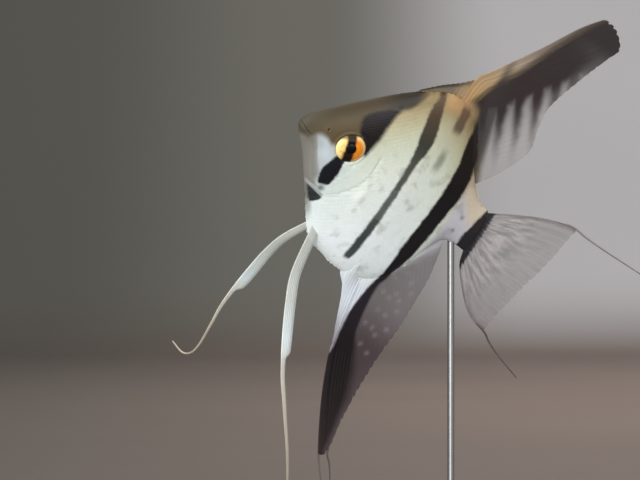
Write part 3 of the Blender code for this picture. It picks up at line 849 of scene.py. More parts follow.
# %% The skin's surface
FULL_TURN = 2 * math.pi
KEEL_SHARPNESS = 1.2
TAIL_END = -0.0135
HEAD_START = 0.60
LIP_START = 0.990
LIP_END = 1.0135
TRUNK_RINGS = 135
HEAD_RINGS = 153
LIP_RINGS = 12
RING_POINTS = 316


def ring_places():
    """Forward positions of the rings, closest at the lips and on the head."""
    trunk = np.linspace(TAIL_END, HEAD_START, TRUNK_RINGS, endpoint=False)
    head = np.linspace(HEAD_START, LIP_START, HEAD_RINGS, endpoint=False)
    turns = np.linspace(0.0, math.pi / 2, LIP_RINGS, endpoint=False)
    return np.concatenate([trunk, head, LIP_START + (LIP_END - LIP_START) * np.sin(turns)])


def loft(x, angle):
    """A point of the smooth body: a tall lens with a blunt keel, rounded off at the lips."""
    lip = np.clip((x - LIP_START) / (LIP_END - LIP_START), 0.0, 1.0)
    rounding = np.sqrt(np.clip(1 - lip ** 2, 0.0, 1.0)) ** 0.8
    middle = widest(x)
    side = half_width(x) * np.sign(np.cos(angle)) * np.abs(np.cos(angle)) ** KEEL_SHARPNESS
    span = np.where(np.sin(angle) > 0, back(x) - middle, middle - belly(x))
    return np.stack([x, side * rounding, middle + np.sin(angle) * span * rounding], axis=-1)


def normals_of(grid):
    """Outward unit normals of a grid whose second direction closes on itself."""
    along = np.gradient(grid, axis=0)
    around = np.roll(grid, -1, axis=1) - np.roll(grid, 1, axis=1)
    normal = np.cross(along, around)
    normal /= np.maximum(np.linalg.norm(normal, axis=-1, keepdims=True), 1e-12)
    outward = np.sign((normal * (grid - grid.mean(axis=1, keepdims=True))).sum(axis=-1, keepdims=True))
    return normal * np.where(outward == 0, 1.0, outward)


def skin_grid():
    """Points of the skin, (rings, points of a ring, 3)."""
    x = ring_places()[:, None]
    angle = np.linspace(0.0, FULL_TURN, RING_POINTS, endpoint=False)[None, :]
    smooth = loft(x + 0 * angle, angle + 0 * x)
    height = relief(smooth[..., 0], smooth[..., 2]) - COAT_DEPTH
    return smooth + normals_of(smooth) * height[..., None]


print("rings of the skin:", len(ring_places()), "of", RING_POINTS, "points")

# %% Pieces from points
def mesh_from(name, vertices, faces, finish, corner_places=None):
    """A smooth-shaded mesh object in the shared frame, with its unwrap if one is given."""
    data = bpy.data.meshes.new(name)
    data.from_pydata([tuple(v) for v in vertices], [], faces)
    data.update()
    data.shade_smooth()
    data.materials.append(finish)
    if corner_places is not None:
        layer = data.uv_layers.new(name="OFBake")
        layer.data.foreach_set("uv", np.asarray(corner_places, np.float32).ravel())
    piece = bpy.data.objects.new(name, data)
    bpy.context.scene.collection.objects.link(piece)
    return piece


def add_field(data, name, values, kind="FLOAT"):
    """A number or a vector at each vertex, for a finish or a node tree to read."""
    layer = data.attributes.new(name, kind, "POINT")
    key = "vector" if kind == "FLOAT_VECTOR" else "value"
    layer.data.foreach_set(key, np.asarray(values, np.float32).ravel())


def tube(rings, points):
    """Faces of a closed run of rings, and the ring and point of every corner for an unwrap.

    After the points of the rings come the one that ends the run and the one that starts it.
    """
    faces = []
    corners = []
    for i in range(rings - 1):
        for k in range(points):
            after = (k + 1) % points
            faces.append((i * points + k, i * points + after,
                          (i + 1) * points + after, (i + 1) * points + k))
            corners += [(i, k), (i, k + 1), (i + 1, k + 1), (i + 1, k)]
    last = (rings - 1) * points
    for k in range(points):
        after = (k + 1) % points
        faces.append((last + k, last + after, rings * points))
        corners += [(rings - 1, k), (rings - 1, k + 1), (rings, k + 0.5)]
        faces.append((after, k, rings * points + 1))
        corners += [(0, k + 1), (0, k), (-1, k + 0.5)]
    return faces, corners


def turn_faces_out(data):
    mesh = bmesh.new()
    mesh.from_mesh(data)
    bmesh.ops.recalc_face_normals(mesh, faces=mesh.faces)
    mesh.to_mesh(data)
    mesh.free()


def triangles(data):
    return sum(len(face.vertices) - 2 for face in data.polygons)


print("corners of a small tube:", len(tube(4, 8)[1]))

# %% The skin as one piece
SNOUT_TIP = 0.0006


def skin_finish():
    finish = Finish("angelfish_skin")
    dull = finish.x.above(0.92, 0.04) * 0.3
    finish.set(base_color=body_colour(finish), roughness=dull + 0.45, specular_ior_level=0.25)
    finish.bump(finish.noise(finish.place, 160.0, 3.0), 0.00012, 0.35)
    return finish.material


def unwrap(ring, point):
    """Place on the skin's unwrap, 0 to 1 both ways, of a ring and a point of that ring."""
    rings = TRUNK_RINGS + HEAD_RINGS + LIP_RINGS
    return np.stack([(ring + 1.5) / (rings + 2), point / RING_POINTS], axis=-1)


def make_skin():
    grid = skin_grid()
    snout = grid[-1].mean(axis=0) + (SNOUT_TIP, 0.0, 0.0)
    root = grid[0].mean(axis=0)
    vertices = np.vstack([grid.reshape(-1, 3), snout, root])
    faces, corners = tube(*grid.shape[:2])
    places = unwrap(*np.array(corners, float).T)
    skin = mesh_from("angelfish_skin", to_world(vertices), faces, skin_finish(), places)
    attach(skin, "root")
    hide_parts("head", "upper_jaw", "lower_jaw", "gill_cover_left", "gill_cover_right",
                "trunk_front", "trunk_rear", "tail_stalk")
    return skin


skin = make_skin()
print("skin triangles:", triangles(skin.data))

# %% [markdown]
# ## Scales
#
# An angelfish wears thin round-edged scales that overlap like roof tiles, their free edges to the
# rear, in rows along the body and smaller on the cheek. About five thousand are needed. They
# follow a surface and repeat, which is what Geometry Nodes are for: each root is a point that
# knows the skin's normal, the way the scale lies and its size, and one scale is set on each.

# %% Where the scales grow
SCALE_STEP = 0.84 * MILLIMETRE
SCALE_ROW = 1.56 * MILLIMETRE
SCALE_LENGTH = 2.05 * MILLIMETRE
HEAD_SCALE_SHARE = 0.66
GIRTH_STEPS = 181
NAPE_FOOT = 0.150
NAPE_REAR = 0.66


def girth_table(x, side):
    """Distance round the body from its widest line to each angle, above and below."""
    angle = np.linspace(-math.pi / 2, math.pi / 2, GIRTH_STEPS)
    ring = loft(np.full_like(angle, x), angle)
    steps = np.linalg.norm(np.diff(ring, axis=0), axis=1)
    reach = np.concatenate([[0.0], np.cumsum(steps)])
    reach -= reach[GIRTH_STEPS // 2]
    return reach, angle if side > 0 else math.pi - angle


def scale_size(x, z, from_keel):
    """Size of a scale, which is less on the nape and towards the keels."""
    on_nape = min(max((0.83 - x) / 0.12, 0.45), 1.0) if z > 0.14 else 1.0
    return on_nape * (0.72 + 0.28 * min(from_keel / 0.10, 1.0))


def scale_roots(side, first, last, share, wanted):
    """Roots of the scales on one side of the fish, in rows that lie half a step apart."""
    row = SCALE_ROW * share
    roots = []
    for i, x in enumerate(np.arange(first, last, SCALE_STEP * share)):
        reach, turned = girth_table(x, side)
        rows = np.arange(math.ceil(reach[0] / row), reach[-1] / row)
        for j in rows + (0.5 if i % 2 else 0.0):
            if not reach[0] < j * row < reach[-1]:
                continue
            angle = float(np.interp(j * row, reach, turned))
            point = loft(np.array(x), np.array(angle))
            from_keel = min(j * row - reach[0], reach[-1] - j * row)
            if wanted(point[0], point[2]):
                roots.append((x, angle, share * scale_size(x, point[2], from_keel)))
    return roots


def on_trunk(x, z):
    return gill_line(z) - x > 0.006 or (z > NAPE_FOOT and x < NAPE_REAR)


def on_head(x, z):
    """Cheek, gill cover and nape; the snout, jaws and the eye's surround stay bare."""
    if opening(x, z) < SOCKET_RADIUS + 0.018 or z < -0.165:
        return False
    if z > NAPE_FOOT:
        wave = 0.012 * math.sin(z * 90.0) + 0.010 * math.sin(z * 37.0 + 1.0)
        return NAPE_REAR <= x < 0.775 + wave
    cheek = x < 0.70 if z > 0.0 else x < 0.825 + 0.35 * z
    return cheek and x - gill_line(z) > 0.004


def all_roots(side):
    body = scale_roots(side, 0.004, 0.84, 1.0, on_trunk)
    return body + scale_roots(side, 0.60, 0.85, HEAD_SCALE_SHARE, on_head)


print("scales on the left side:", len(all_roots(1)))

# %% One scale
SCALE_SPOKES = 12
SCALE_HALF_LENGTH = 0.52
SCALE_HALF_WIDTH = 0.47
SCALE_TAPER = 0.10
SCALE_CROWN = 0.030
SCALE_SHOULDER = (0.66, 0.0210)
SCALE_THICKNESS = 0.014
SCALE_SLOPE = 0.030
SCALE_PIVOT = -0.30
SCALE_CREASE = math.radians(40.0)


def scale_template():
    """One scale of unit length, free edge to +X, slightly domed, closed underneath."""
    mesh = bmesh.new()
    patch = mesh.verts.layers.float_vector.new("patch")

    def vertex(share, turn, lift):
        x = SCALE_HALF_LENGTH * share * math.cos(turn)
        y = SCALE_HALF_WIDTH * share * math.sin(turn) * (1 - SCALE_TAPER * math.cos(turn))
        made = mesh.verts.new((x, y, lift + SCALE_SLOPE * (x - SCALE_PIVOT)))
        made[patch] = (x / SCALE_HALF_LENGTH, y / SCALE_HALF_LENGTH, 0.0)
        return made

    turns = [FULL_TURN * k / SCALE_SPOKES for k in range(SCALE_SPOKES)]
    crown = vertex(0.0, 0.0, SCALE_CROWN)
    inner = [vertex(SCALE_SHOULDER[0], turn, SCALE_SHOULDER[1]) for turn in turns]
    rim = [vertex(1.0, turn, 0.0) for turn in turns]
    under = [vertex(0.97, turn, -SCALE_THICKNESS) for turn in turns]
    floor_point = vertex(0.0, 0.0, -SCALE_THICKNESS)
    for k in range(SCALE_SPOKES):
        after = (k + 1) % SCALE_SPOKES
        mesh.faces.new((crown, inner[k], inner[after]))
        mesh.faces.new((inner[k], rim[k], rim[after], inner[after]))
        mesh.faces.new((rim[k], under[k], under[after], rim[after]))
        mesh.faces.new((under[k], floor_point, under[after]))
    data = bpy.data.meshes.new("one_scale")
    mesh.to_mesh(data)
    mesh.free()
    data.shade_smooth()
    data.set_sharp_from_angle(angle=SCALE_CREASE)
    return bpy.data.objects.new("one_scale", data)


one_scale = scale_template()
print("faces of one scale:", len(one_scale.data.polygons))

# %% Scales as Geometry Nodes
PATCH_HALF = 0.0015


def scale_tree():
    """Sets a scale on each root, turned to its normal and its lie, and writes its unwrap."""
    group = bpy.data.node_groups.new("scale_coat", "GeometryNodeTree")
    face = group.interface
    sockets = {}
    for name, kind in (("Roots", "NodeSocketGeometry"), ("One scale", "NodeSocketObject"),
                       ("Patch half", "NodeSocketFloat"), ("Finish", "NodeSocketMaterial")):
        sockets[name] = face.new_socket(name, in_out="INPUT", socket_type=kind)
    face.new_socket("Coat", in_out="OUTPUT", socket_type="NodeSocketGeometry")
    tree = Tree(group)
    given = tree.node("NodeGroupInput").outputs

    def named(name, kind):
        return tree.node("GeometryNodeInputNamedAttribute", {"data_type": kind}, {"Name": name}).outputs[0]

    upright = tree.node("FunctionNodeAlignRotationToVector", {"axis": "Z"},
                        {"Vector": named("outward", "FLOAT_VECTOR")})
    turned = tree.node("FunctionNodeAlignRotationToVector", {"axis": "X", "pivot_axis": "Z"},
                       {"Rotation": upright.outputs[0], "Vector": named("lie", "FLOAT_VECTOR")})
    template = tree.node("GeometryNodeObjectInfo", None, {"Object": given["One scale"]})
    placed = tree.node("GeometryNodeInstanceOnPoints", None, {
        "Points": given["Roots"], "Instance": template.outputs["Geometry"],
        "Rotation": turned.outputs[0], "Scale": named("length", "FLOAT")})
    real = tree.node("GeometryNodeRealizeInstances", None, {"Geometry": placed.outputs[0]})
    patch = tree.node("ShaderNodeVectorMath", {"operation": "SCALE"},
                      {0: named("patch", "FLOAT_VECTOR"), "Scale": given["Patch half"]})
    place = tree.node("ShaderNodeVectorMath", {"operation": "ADD"},
                      {0: named("root_place", "FLOAT_VECTOR"), 1: patch.outputs[0]})
    unwrapped = tree.node("GeometryNodeStoreNamedAttribute",
                          {"data_type": "FLOAT2", "domain": "CORNER"},
                          {"Geometry": real.outputs[0], "Name": "OFBake", "Value": place.outputs[0]})
    finished = tree.node("GeometryNodeSetMaterial", None,
                         {"Geometry": unwrapped.outputs[0], "Material": given["Finish"]})
    tree.node("NodeGroupOutput", None, {0: finished.outputs[0]})
    return group, sockets


scale_group, scale_sockets = scale_tree()
print("nodes in the scale tree:", len(scale_group.nodes))

# %% The roots as points
NORMAL_STEP = 1e-3
LIE_REACH = 0.012
LIE_TURN = 0.04
SCALE_SEED = 7


def surface(x, angle):
    """A point of the body with the relief pressed in, by forward position and ring angle."""
    point = loft(x, angle)
    outward = np.cross(loft(x + NORMAL_STEP, angle) - point, loft(x, angle + NORMAL_STEP) - point)
    outward /= np.linalg.norm(outward, axis=-1, keepdims=True)
    outward *= np.where(np.cos(angle) * outward[..., 1] < 0, -1.0, 1.0)[..., None]
    return point + outward * (relief(point[..., 0], point[..., 2]) - COAT_DEPTH)[..., None]


def root_points(name, side):
    """A point at each root, which knows the scale's lie, size, tone and place on the unwrap."""
    x, angle, share = np.array(all_roots(side)).T
    along = surface(x + LIE_REACH, angle) - surface(x - LIE_REACH, angle)
    around = surface(x, angle + LIE_TURN) - surface(x, angle - LIE_TURN)
    outward = np.cross(along, around)
    outward /= np.linalg.norm(outward, axis=1, keepdims=True)
    outward *= np.sign(outward[:, 1] * side)[:, None]
    lie = -along / np.linalg.norm(along, axis=1, keepdims=True)
    ring = np.interp(x, ring_places(), np.arange(TRUNK_RINGS + HEAD_RINGS + LIP_RINGS))
    place = unwrap(ring, angle / FULL_TURN % 1.0 * RING_POINTS)
    chance = np.random.default_rng(SCALE_SEED + side)
    data = bpy.data.meshes.new(name)
    data.from_pydata([tuple(v) for v in to_world(surface(x, angle))], [], [])
    add_field(data, "outward", turned_to_world(outward), "FLOAT_VECTOR")
    add_field(data, "lie", turned_to_world(lie), "FLOAT_VECTOR")
    add_field(data, "root_place", np.column_stack([place, np.zeros(len(place))]), "FLOAT_VECTOR")
    add_field(data, "length", share * SCALE_LENGTH * BODY_LENGTH * chance.uniform(0.96, 1.04, len(share)))
    add_field(data, "tone", chance.random(len(share)))
    return data


print("a root on the flank:", np.round(surface(np.array(0.5), np.array(0.2)), 3))

# %% The coat of scales
def scale_finish():
    """The skin's own markings, with a pearly gloss, a painted shade at each scale's rim and a tone for
    each scale.
    """
    finish = Finish("angelfish_scales")
    tone = finish.attribute("tone")
    # The rim is painted darker, as painted shade where one scale lies on the next; the tone is each
    # scale's own.
    shade = 0.98 + tone * 0.045 - finish.attribute("rim") * 0.035
    finish.set(base_color=finish.shaded(body_colour(finish), shade), roughness=0.38 + tone * 0.06,
               metallic=0.06, specular_ior_level=0.32)
    return finish.material


def add_rim(data):
    """A number that is 1 at each scale's edge and 0 at its middle."""
    patch = np.zeros(len(data.vertices) * 3, np.float32)
    data.attributes["patch"].data.foreach_get("vector", patch)
    away = np.linalg.norm(patch.reshape(-1, 3), axis=1)
    add_field(data, "rim", np.clip(away, 0.0, 1.0) ** 3)


def make_scales(name, side, finish):
    holder = bpy.data.objects.new(name + "_roots", root_points(name + "_roots", side))
    bpy.context.scene.collection.objects.link(holder)
    modifier = holder.modifiers.new("scale_coat", "NODES")
    modifier.node_group = scale_group
    modifier[scale_sockets["One scale"].identifier] = one_scale
    modifier[scale_sockets["Patch half"].identifier] = PATCH_HALF
    modifier[scale_sockets["Finish"].identifier] = finish
    graph = bpy.context.evaluated_depsgraph_get()
    coat = bpy.data.objects.new(name, bpy.data.meshes.new_from_object(holder.evaluated_get(graph)))
    holder.modifiers.clear()
    bpy.data.objects.remove(holder)
    add_rim(coat.data)
    bpy.context.scene.collection.objects.link(coat)
    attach(coat, "root")
    return coat


coat_finish = scale_finish()
coats = [make_scales("scales_left", 1, coat_finish), make_scales("scales_right", -1, coat_finish)]
bpy.data.objects.remove(one_scale)
for coat in coats:
    print(coat.name, "triangles:", triangles(coat.data))

# %% [markdown]
# ## Eyes
#
# A fish's eye is a nearly flat disc with a round lens that bulges through the pupil. Each eye is
# turned from one profile about the axis that points out of the head: lens, pupil edge, iris,
# the ring that ends the iris, and the rest of the ball, which the socket hides. The
# iris has a pale gold crescent in front, an orange one behind, and the dark bar between them.

# %% The eye's profile
EYE_RADIUS = 0.0755
EYE_DEPTH = 0.045
PUPIL_RADIUS = 0.0235
IRIS_RADIUS = 0.0660


def eye_profile():
    """(distance from the axis, height) from the middle of the pupil to the back of the ball."""
    def ball(radius):
        return EYE_DEPTH * math.sqrt(max(1 - (radius / EYE_RADIUS) ** 2, 0.0))

    line = []
    for t in np.linspace(0.0, 1.0, 12):
        line.append((PUPIL_RADIUS * t, ball(0.0) + 0.002 - 0.0042 * t * t))
    line.append((PUPIL_RADIUS + 0.0006, ball(PUPIL_RADIUS) - 0.0052))
    for t in np.linspace(0.0, 1.0, 16):
        radius = PUPIL_RADIUS + 0.0012 + (IRIS_RADIUS - PUPIL_RADIUS - 0.0012) * t
        line.append((radius, ball(radius) - 0.0036 * (1 - t) ** 1.5 + 0.0008 * math.sin(math.pi * t)))
    line.append((IRIS_RADIUS + 0.0012, ball(IRIS_RADIUS) - 0.0016))
    rim = math.asin((IRIS_RADIUS + 0.003) / EYE_RADIUS)
    for turn in np.linspace(rim, math.pi, 26):
        line.append((max(EYE_RADIUS * math.sin(turn), 0.0), EYE_DEPTH * math.cos(turn)))
    return line


print("points of the eye's profile:", len(eye_profile()))

# %% The eye's finish
PUPIL_SHIFT = (0.008, 0.001)


def eye_finish():
    finish = Finish("angelfish_eye")
    across = finish.x - EYE_CENTRE[0]
    rise = finish.z - EYE_CENTRE[2]
    level = across * math.sin(EYE_TILT) - rise * math.cos(EYE_TILT)
    lift = (across * math.cos(EYE_TILT) + rise * math.sin(EYE_TILT)) / EYE_FLATNESS
    from_axis = finish.length(level, lift)
    pupil_across = across - PUPIL_SHIFT[0]
    pupil_rise = rise - PUPIL_SHIFT[1]
    from_pupil = finish.length(pupil_across, pupil_rise)
    turn = finish.maths("ARCTAN2", rise, across)
    spoke = finish.node("ShaderNodeCombineXYZ", None, {0: turn * 5.0, 1: from_pupil * 26.0})
    fibres = finish.noise(spoke.outputs[0], 3.2, 4.0, 0.6)
    flecks = fibres.above(0.52, 0.10)
    forward = pupil_across * 0.80 - pupil_rise * 0.60
    upright = pupil_across * 0.60 + pupil_rise * 0.80
    lean = forward + (fibres - 0.5) * 0.012 + upright * 0.24
    high_bar = (lean + upright * 0.10).between(-0.021, 0.021, 0.007) * upright.above(0.002, 0.008)
    low_bar = lean.between(-0.018, 0.030, 0.009) * upright.below(-0.006, 0.008)
    # Painted shadow of the dark brow over the eye's upper rim.
    brow_shadow = (lift + across * 0.25).above(0.058, 0.010)
    front = finish.mix(flecks, paint(240, 210, 132), paint(200, 150, 72))
    rear = finish.mix(flecks, paint(238, 150, 42), paint(206, 108, 22))
    colour = layered(finish, front,
                     (forward.below(-0.002, 0.012), rear),
                     (from_axis.above(0.052, 0.008) * 0.7, paint(246, 218, 150)),
                     (high_bar, paint(16, 10, 7)),
                     (low_bar, paint(30, 17, 10)),
                     (from_axis.above(0.068, 0.005) * 0.7, paint(76, 54, 32)),
                     (brow_shadow * 0.8, paint(62, 44, 26)),
                     (from_pupil.below(PUPIL_RADIUS, 0.0010), paint(7, 6, 6)))
    finish.set(base_color=colour, roughness=0.40, specular_ior_level=0.15,
               coat_weight=0.16, coat_roughness=0.05)
    return finish.material


iris = eye_finish()
print("nodes in the eye's finish:", len(iris.node_tree.nodes))

# %% Both eyes
EYE_SEGMENTS = 96
# How the eye's disc follows the head: its slope forwards and its slope upwards.
EYE_SLOPE = (0.117, 0.027)


def make_eye(side_name, side, finish):
    (_, front), *rings, (_, rear) = eye_profile()
    turns = np.linspace(0.0, FULL_TURN, EYE_SEGMENTS, endpoint=False)
    points = [(radius * math.cos(turn), height, radius * math.sin(turn))
              for radius, height in rings for turn in turns]
    points = np.array(points + [(0.0, rear, 0.0), (0.0, front, 0.0)])
    pupil = np.clip(1.0 - np.hypot(points[:, 0], points[:, 2]) / IRIS_RADIUS, 0.0, 1.0)
    pupil = np.where(points[:, 1] > 0, np.minimum(pupil * 1.6, 1.0), 0.0)
    upright = np.array((math.cos(EYE_TILT), math.sin(EYE_TILT)))
    lift = points[:, [0, 2]] @ upright
    points[:, [0, 2]] -= (lift * (1 - EYE_FLATNESS))[:, None] * upright
    points[:, 1] -= EYE_SLOPE[0] * points[:, 0] + EYE_SLOPE[1] * points[:, 2]
    points[:, 0] += PUPIL_SHIFT[0] * pupil
    points[:, 2] += PUPIL_SHIFT[1] * pupil
    points = (points + EYE_CENTRE) * (1, side, 1)
    faces, _ = tube(len(rings), EYE_SEGMENTS)
    eye = mesh_from("eye_ball_" + side_name, to_world(points), faces, finish)
    turn_faces_out(eye.data)
    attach(eye, "root")
    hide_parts("eye_" + side_name)
    return eye


eyes = [make_eye("left", 1, iris), make_eye("right", -1, iris)]
print("eye faces:", len(eyes[0].data.polygons))

# %% [markdown]
# ## Fins
#
# A fin is a film of skin stretched over many thin bony rays that fork towards the edge. Each one
# is a patch between four edge curves: its base, leading edge, margin and trailing edge. The
# patch has a front and a back face, so it is a thin closed solid, and the rays are ridges in it.
# The margin is nicked between the rays, where a living fin always frays a little. Straight
# lines from base to margin across the patch are then the paths of the rays. At the base a fleshy
# sheath thickens the fin, so that the body runs out into it instead of ending at a step.

# %% Fin patches
def patch(edges, along, outward):
    """A patch between four edge curves: along runs from leading to trailing edge."""
    base, leading, margin, trailing = (through(edges[name]) for name in
                                       ("base", "leading", "margin", "trailing"))
    r, s = along[..., None], outward[..., None]
    across = (1 - s) * base(along) + s * margin(along)
    front = leading(outward) - ((1 - s) * leading(0.0) + s * leading(1.0))
    rear = trailing(outward) - ((1 - s) * trailing(0.0) + s * trailing(1.0))
    return across + (1 - r) * front + r * rear


RAY_SPREAD = 0.22
RAY_WIDTH = 0.17


def ray_height(along, outward, rays, fork):
    """1 on a ray and 0 on the film. Past the fork each ray parts into two branches."""
    offset = (along * rays) % 1.0 - 0.5
    parting = RAY_SPREAD * np.clip((outward - fork) / (1 - fork), 0.0, 1.0) ** 0.7
    width = RAY_WIDTH * (1 - 0.45 * np.clip(outward, 0, 1))
    return bell(np.abs(np.abs(offset) - parting), width)


print("height between two rays:", round(float(ray_height(0.0, 0.0, 4, 0.5)), 3))

# %% Closed thin solids
# Where the two faces lie on a fin's unwrap, side by side with a small margin.
FACE_WIDTH = 0.48
FAR_FACE = 0.5
UNWRAP_MARGIN = 0.01


def shell_faces(columns, rows):
    """Quads of two facing grids of (columns, rows) points and of the border between them."""
    def number(i, j, far):
        return (i * rows + j) + (columns * rows if far else 0)

    faces = []
    for i in range(columns - 1):
        for j in range(rows - 1):
            quad = [(i, j), (i + 1, j), (i + 1, j + 1), (i, j + 1)]
            faces.append(tuple(number(*corner, False) for corner in quad))
            faces.append(tuple(number(*corner, True) for corner in quad[::-1]))
    border = [(i, 0) for i in range(columns - 1)] + [(columns - 1, j) for j in range(rows - 1)]
    border += [(i, rows - 1) for i in range(columns - 1, 0, -1)] + [(0, j) for j in range(rows - 1, 0, -1)]
    for here, there in zip(border, border[1:] + border[:1]):
        faces.append((number(*there, False), number(*here, False),
                      number(*here, True), number(*there, True)))
    return faces


def shell_piece(name, near, far, finish, fields):
    """A closed thin solid between two grids in the fish's frame, with its unwrap and fields."""
    columns, rows = near.shape[:2]
    vertices = np.vstack([near.reshape(-1, 3), far.reshape(-1, 3)])
    faces = shell_faces(columns, rows)
    order = np.arange(columns * rows)
    place = np.column_stack([order // rows / (columns - 1) * FACE_WIDTH, order % rows / (rows - 1)])
    place = np.vstack([place, place + (FAR_FACE, 0.0)])
    corners = place[np.concatenate([np.array(face) for face in faces])]
    piece = mesh_from(name, to_world(vertices), faces, finish,
                      corners * (1 - 2 * UNWRAP_MARGIN) + UNWRAP_MARGIN)
    for field, values in fields.items():
        add_field(piece.data, field, np.concatenate([values.ravel(), values.ravel()]))
    turn_faces_out(piece.data)
    return piece


print("faces of a shell of 3 by 3 points:", len(shell_faces(3, 3)))

# %% The two faces of a fin
FILM = 0.10 * MILLIMETRE
RAY_ROOT = 0.13 * MILLIMETRE
RAY_TIP = 0.08 * MILLIMETRE


def fin_grids(edges, rays, columns, rows, fork=0.45, fray=0.012, ripple=0.004, stout=0.0,
              sheath=0.0, sheath_reach=0.05, seed=1):
    """Near and far faces of a fin in its own plane, as (forward, side, up), and its fields."""
    along = np.linspace(0.0, 1.0, columns)[:, None] + np.zeros((1, rows))
    outward = np.linspace(0.0, 1.0, rows)[None, :] + np.zeros((columns, 1))
    chance = np.random.default_rng(seed)
    nicks = chance.uniform(0.3, 1.6, rays + 1)[np.floor(along[:, 0] * rays).astype(int)]
    gap = (0.5 + 0.5 * np.cos(FULL_TURN * along[:, 0] * rays)) ** 3
    reach = outward * (1 - (fray * nicks * gap)[:, None] * outward ** 2)
    place = patch(edges, along, reach)
    height = ray_height(along, outward, rays, fork)
    leading = bell(along, 0.6 / rays)
    height = np.maximum(height, leading)
    thick = RAY_ROOT + (RAY_TIP - RAY_ROOT) * outward ** 0.7
    away = np.linalg.norm(place - place[:, :1], axis=-1)
    root = bell(away, sheath_reach)
    fleshy = sheath * np.sin(np.clip(along, 0.02, 0.98) * math.pi) ** 0.5 * root
    half = 0.5 * (FILM + (thick + stout * leading) * height * (1 - 0.8 * root)) + fleshy
    sway = ripple * outward ** 1.5 * np.sin(along * 9.0 + outward * 3.5 + seed)
    near = np.stack([place[..., 0], sway + half, place[..., 1]], axis=-1)
    far = np.stack([place[..., 0], sway - half, place[..., 1]], axis=-1)
    return near, far, {"ray": height, "along": along, "outward": outward, "root": root}


print("film thickness in mm:", round(FILM * BODY_LENGTH * 1000, 2))

# %% [markdown]
# ## Fin finishes
#
# Fin film is clear, with pigment in it, so how much it hides is a pattern of its own. It goes to
# the shader's Alpha: rays and pigment hide what is behind them, and bare film hardly does. Light
# crosses two faces of the thin solid, so each face hides only part of what the fin does.

# %% What a film hides
# The most that a film hides. Even a black bar lets a little light through.
NEARLY_SOLID = 0.985
SEGMENT_STEP = 0.011


def one_face(finish, hidden):
    """Alpha of one face of a film, for a share that both faces hide together."""
    return 1 - finish.maths("SQRT", 1 - hidden * NEARLY_SOLID)


def from_body(finish, colour, hidden, reach=0.30):
    """The body's own markings run out on to the sheath at the fin's base."""
    root = finish.attribute("root").above(reach, 0.26)
    return finish.mix(root, colour, body_colour(finish)), hidden.most(root * 0.98)


def film_shader(finish, colour, hidden, roughness=0.46):
    """A clear film, with fine joints across each ray."""
    joints = (finish.attribute("outward") * (FULL_TURN / SEGMENT_STEP)).wave()
    finish.set(base_color=colour, alpha=one_face(finish, hidden), roughness=roughness,
               specular_ior_level=0.25)
    finish.bump(joints * finish.attribute("ray"), 0.00004, 0.4)
    return finish.material


print("each face hides", round(1 - math.sqrt(1 - 0.5), 2), "of a film that hides half")

# %% The dorsal fin's finish
# Where the tan leading band begins, as heights and forward positions.
TAN_EDGE = [(0.36, 0.372), (0.40, 0.372), (0.45, 0.364), (0.51, 0.334), (0.55, 0.316),
            (0.59, 0.292), (0.66, 0.249), (0.73, 0.209), (0.81, 0.170), (0.89, 0.126),
            (0.955, 0.086), (1.02, 0.040), (1.06, 0.008)]
TAN_COLOURS = [(0.44, paint(166, 128, 82)), (0.52, paint(184, 150, 100)), (0.62, paint(176, 150, 112)),
               (0.70, paint(168, 150, 126)), (0.80, paint(138, 122, 109)), (0.92, paint(110, 100, 90)),
               (1.0, paint(84, 74, 68))]
SAIL_COLOURS = [(0.2, paint(44, 32, 32)), (0.50, paint(34, 21, 19)), (0.75, paint(38, 27, 28)),
                (1.05, paint(42, 36, 38))]
STRIPE_STEP = 0.081


def dorsal_finish():
    """Tan leading band, a near-black sail, and pale stripes low down that fade to clear film."""
    finish = Finish("angelfish_dorsal_fin")
    x, z = finish.x, finish.z
    ray, outward = finish.attribute("ray"), finish.attribute("outward")
    cloud = finish.noise(finish.place, 13.0, 3.0) - 0.5
    tan = (x + cloud * 0.004).above(finish.curve(z, TAN_EDGE) + 0.002, 0.024)
    depth = x * 0.752 + z * 0.658 + cloud * 0.06
    slant = x * 0.89 - z * 0.46 + 0.006 + cloud * 0.030
    stripe = (slant * (FULL_TURN / STRIPE_STEP)).wave()
    flame = (depth - 0.290) / 0.200 + (1 - stripe) * 0.72
    dark = flame.above(0.84, 0.80) * depth.above(0.21, 0.17)
    dark = dark.most(depth.above(0.480, 0.045))
    thin = outward.above(0.84, 0.12) * z.between(0.62, 0.93, 0.04)
    tip = (x + z * 0.2 + cloud * 0.05).below(0.16, 0.04) * z.above(0.90, 0.05)
    spines = x.above(0.401, 0.004)
    edge = outward.above(0.80, 0.10)
    warm = x.below(0.445, 0.03) * (1 - edge * 0.6)
    spiny = layered(finish, paint(112, 98, 74), (edge, paint(56, 48, 34)), (warm, paint(168, 140, 98)))
    colour = layered(finish, paint(146, 142, 138),
                     (ray * 0.2, paint(126, 121, 118)),
                     (dark, finish.ramp(z, 0.2, 1.05, SAIL_COLOURS)),
                     (tan, finish.ramp(z, 0.40, 1.05, TAN_COLOURS)),
                     (tan * (1 - tan) * 2.4, paint(72, 58, 36)),
                     (thin * 0.28, paint(104, 98, 102)),
                     (tip * 0.7, paint(40, 34, 36)),
                     (spines, spiny),
                     (ray * 0.05, paint(150, 134, 116)))
    hidden = 0.24 + dark * (0.73 - thin * 0.08) + ray * 0.05
    hidden = hidden + tan * (0.94 - hidden) * 0.9
    hidden = hidden + spines * (0.86 + edge * 0.08 - hidden)
    colour, hidden = from_body(finish, colour, hidden, 0.56)
    above_back = z * 0.5 - finish.curve(x, BACK_LINE) + 0.12
    shadow = above_back.below(0.052, 0.045) * x.between(0.105, 0.300, 0.020)
    colour = finish.mix(shadow * 0.85, colour, paint(44, 37, 36))
    return film_shader(finish, colour, hidden.most(shadow * 0.92).least(NEARLY_SOLID))


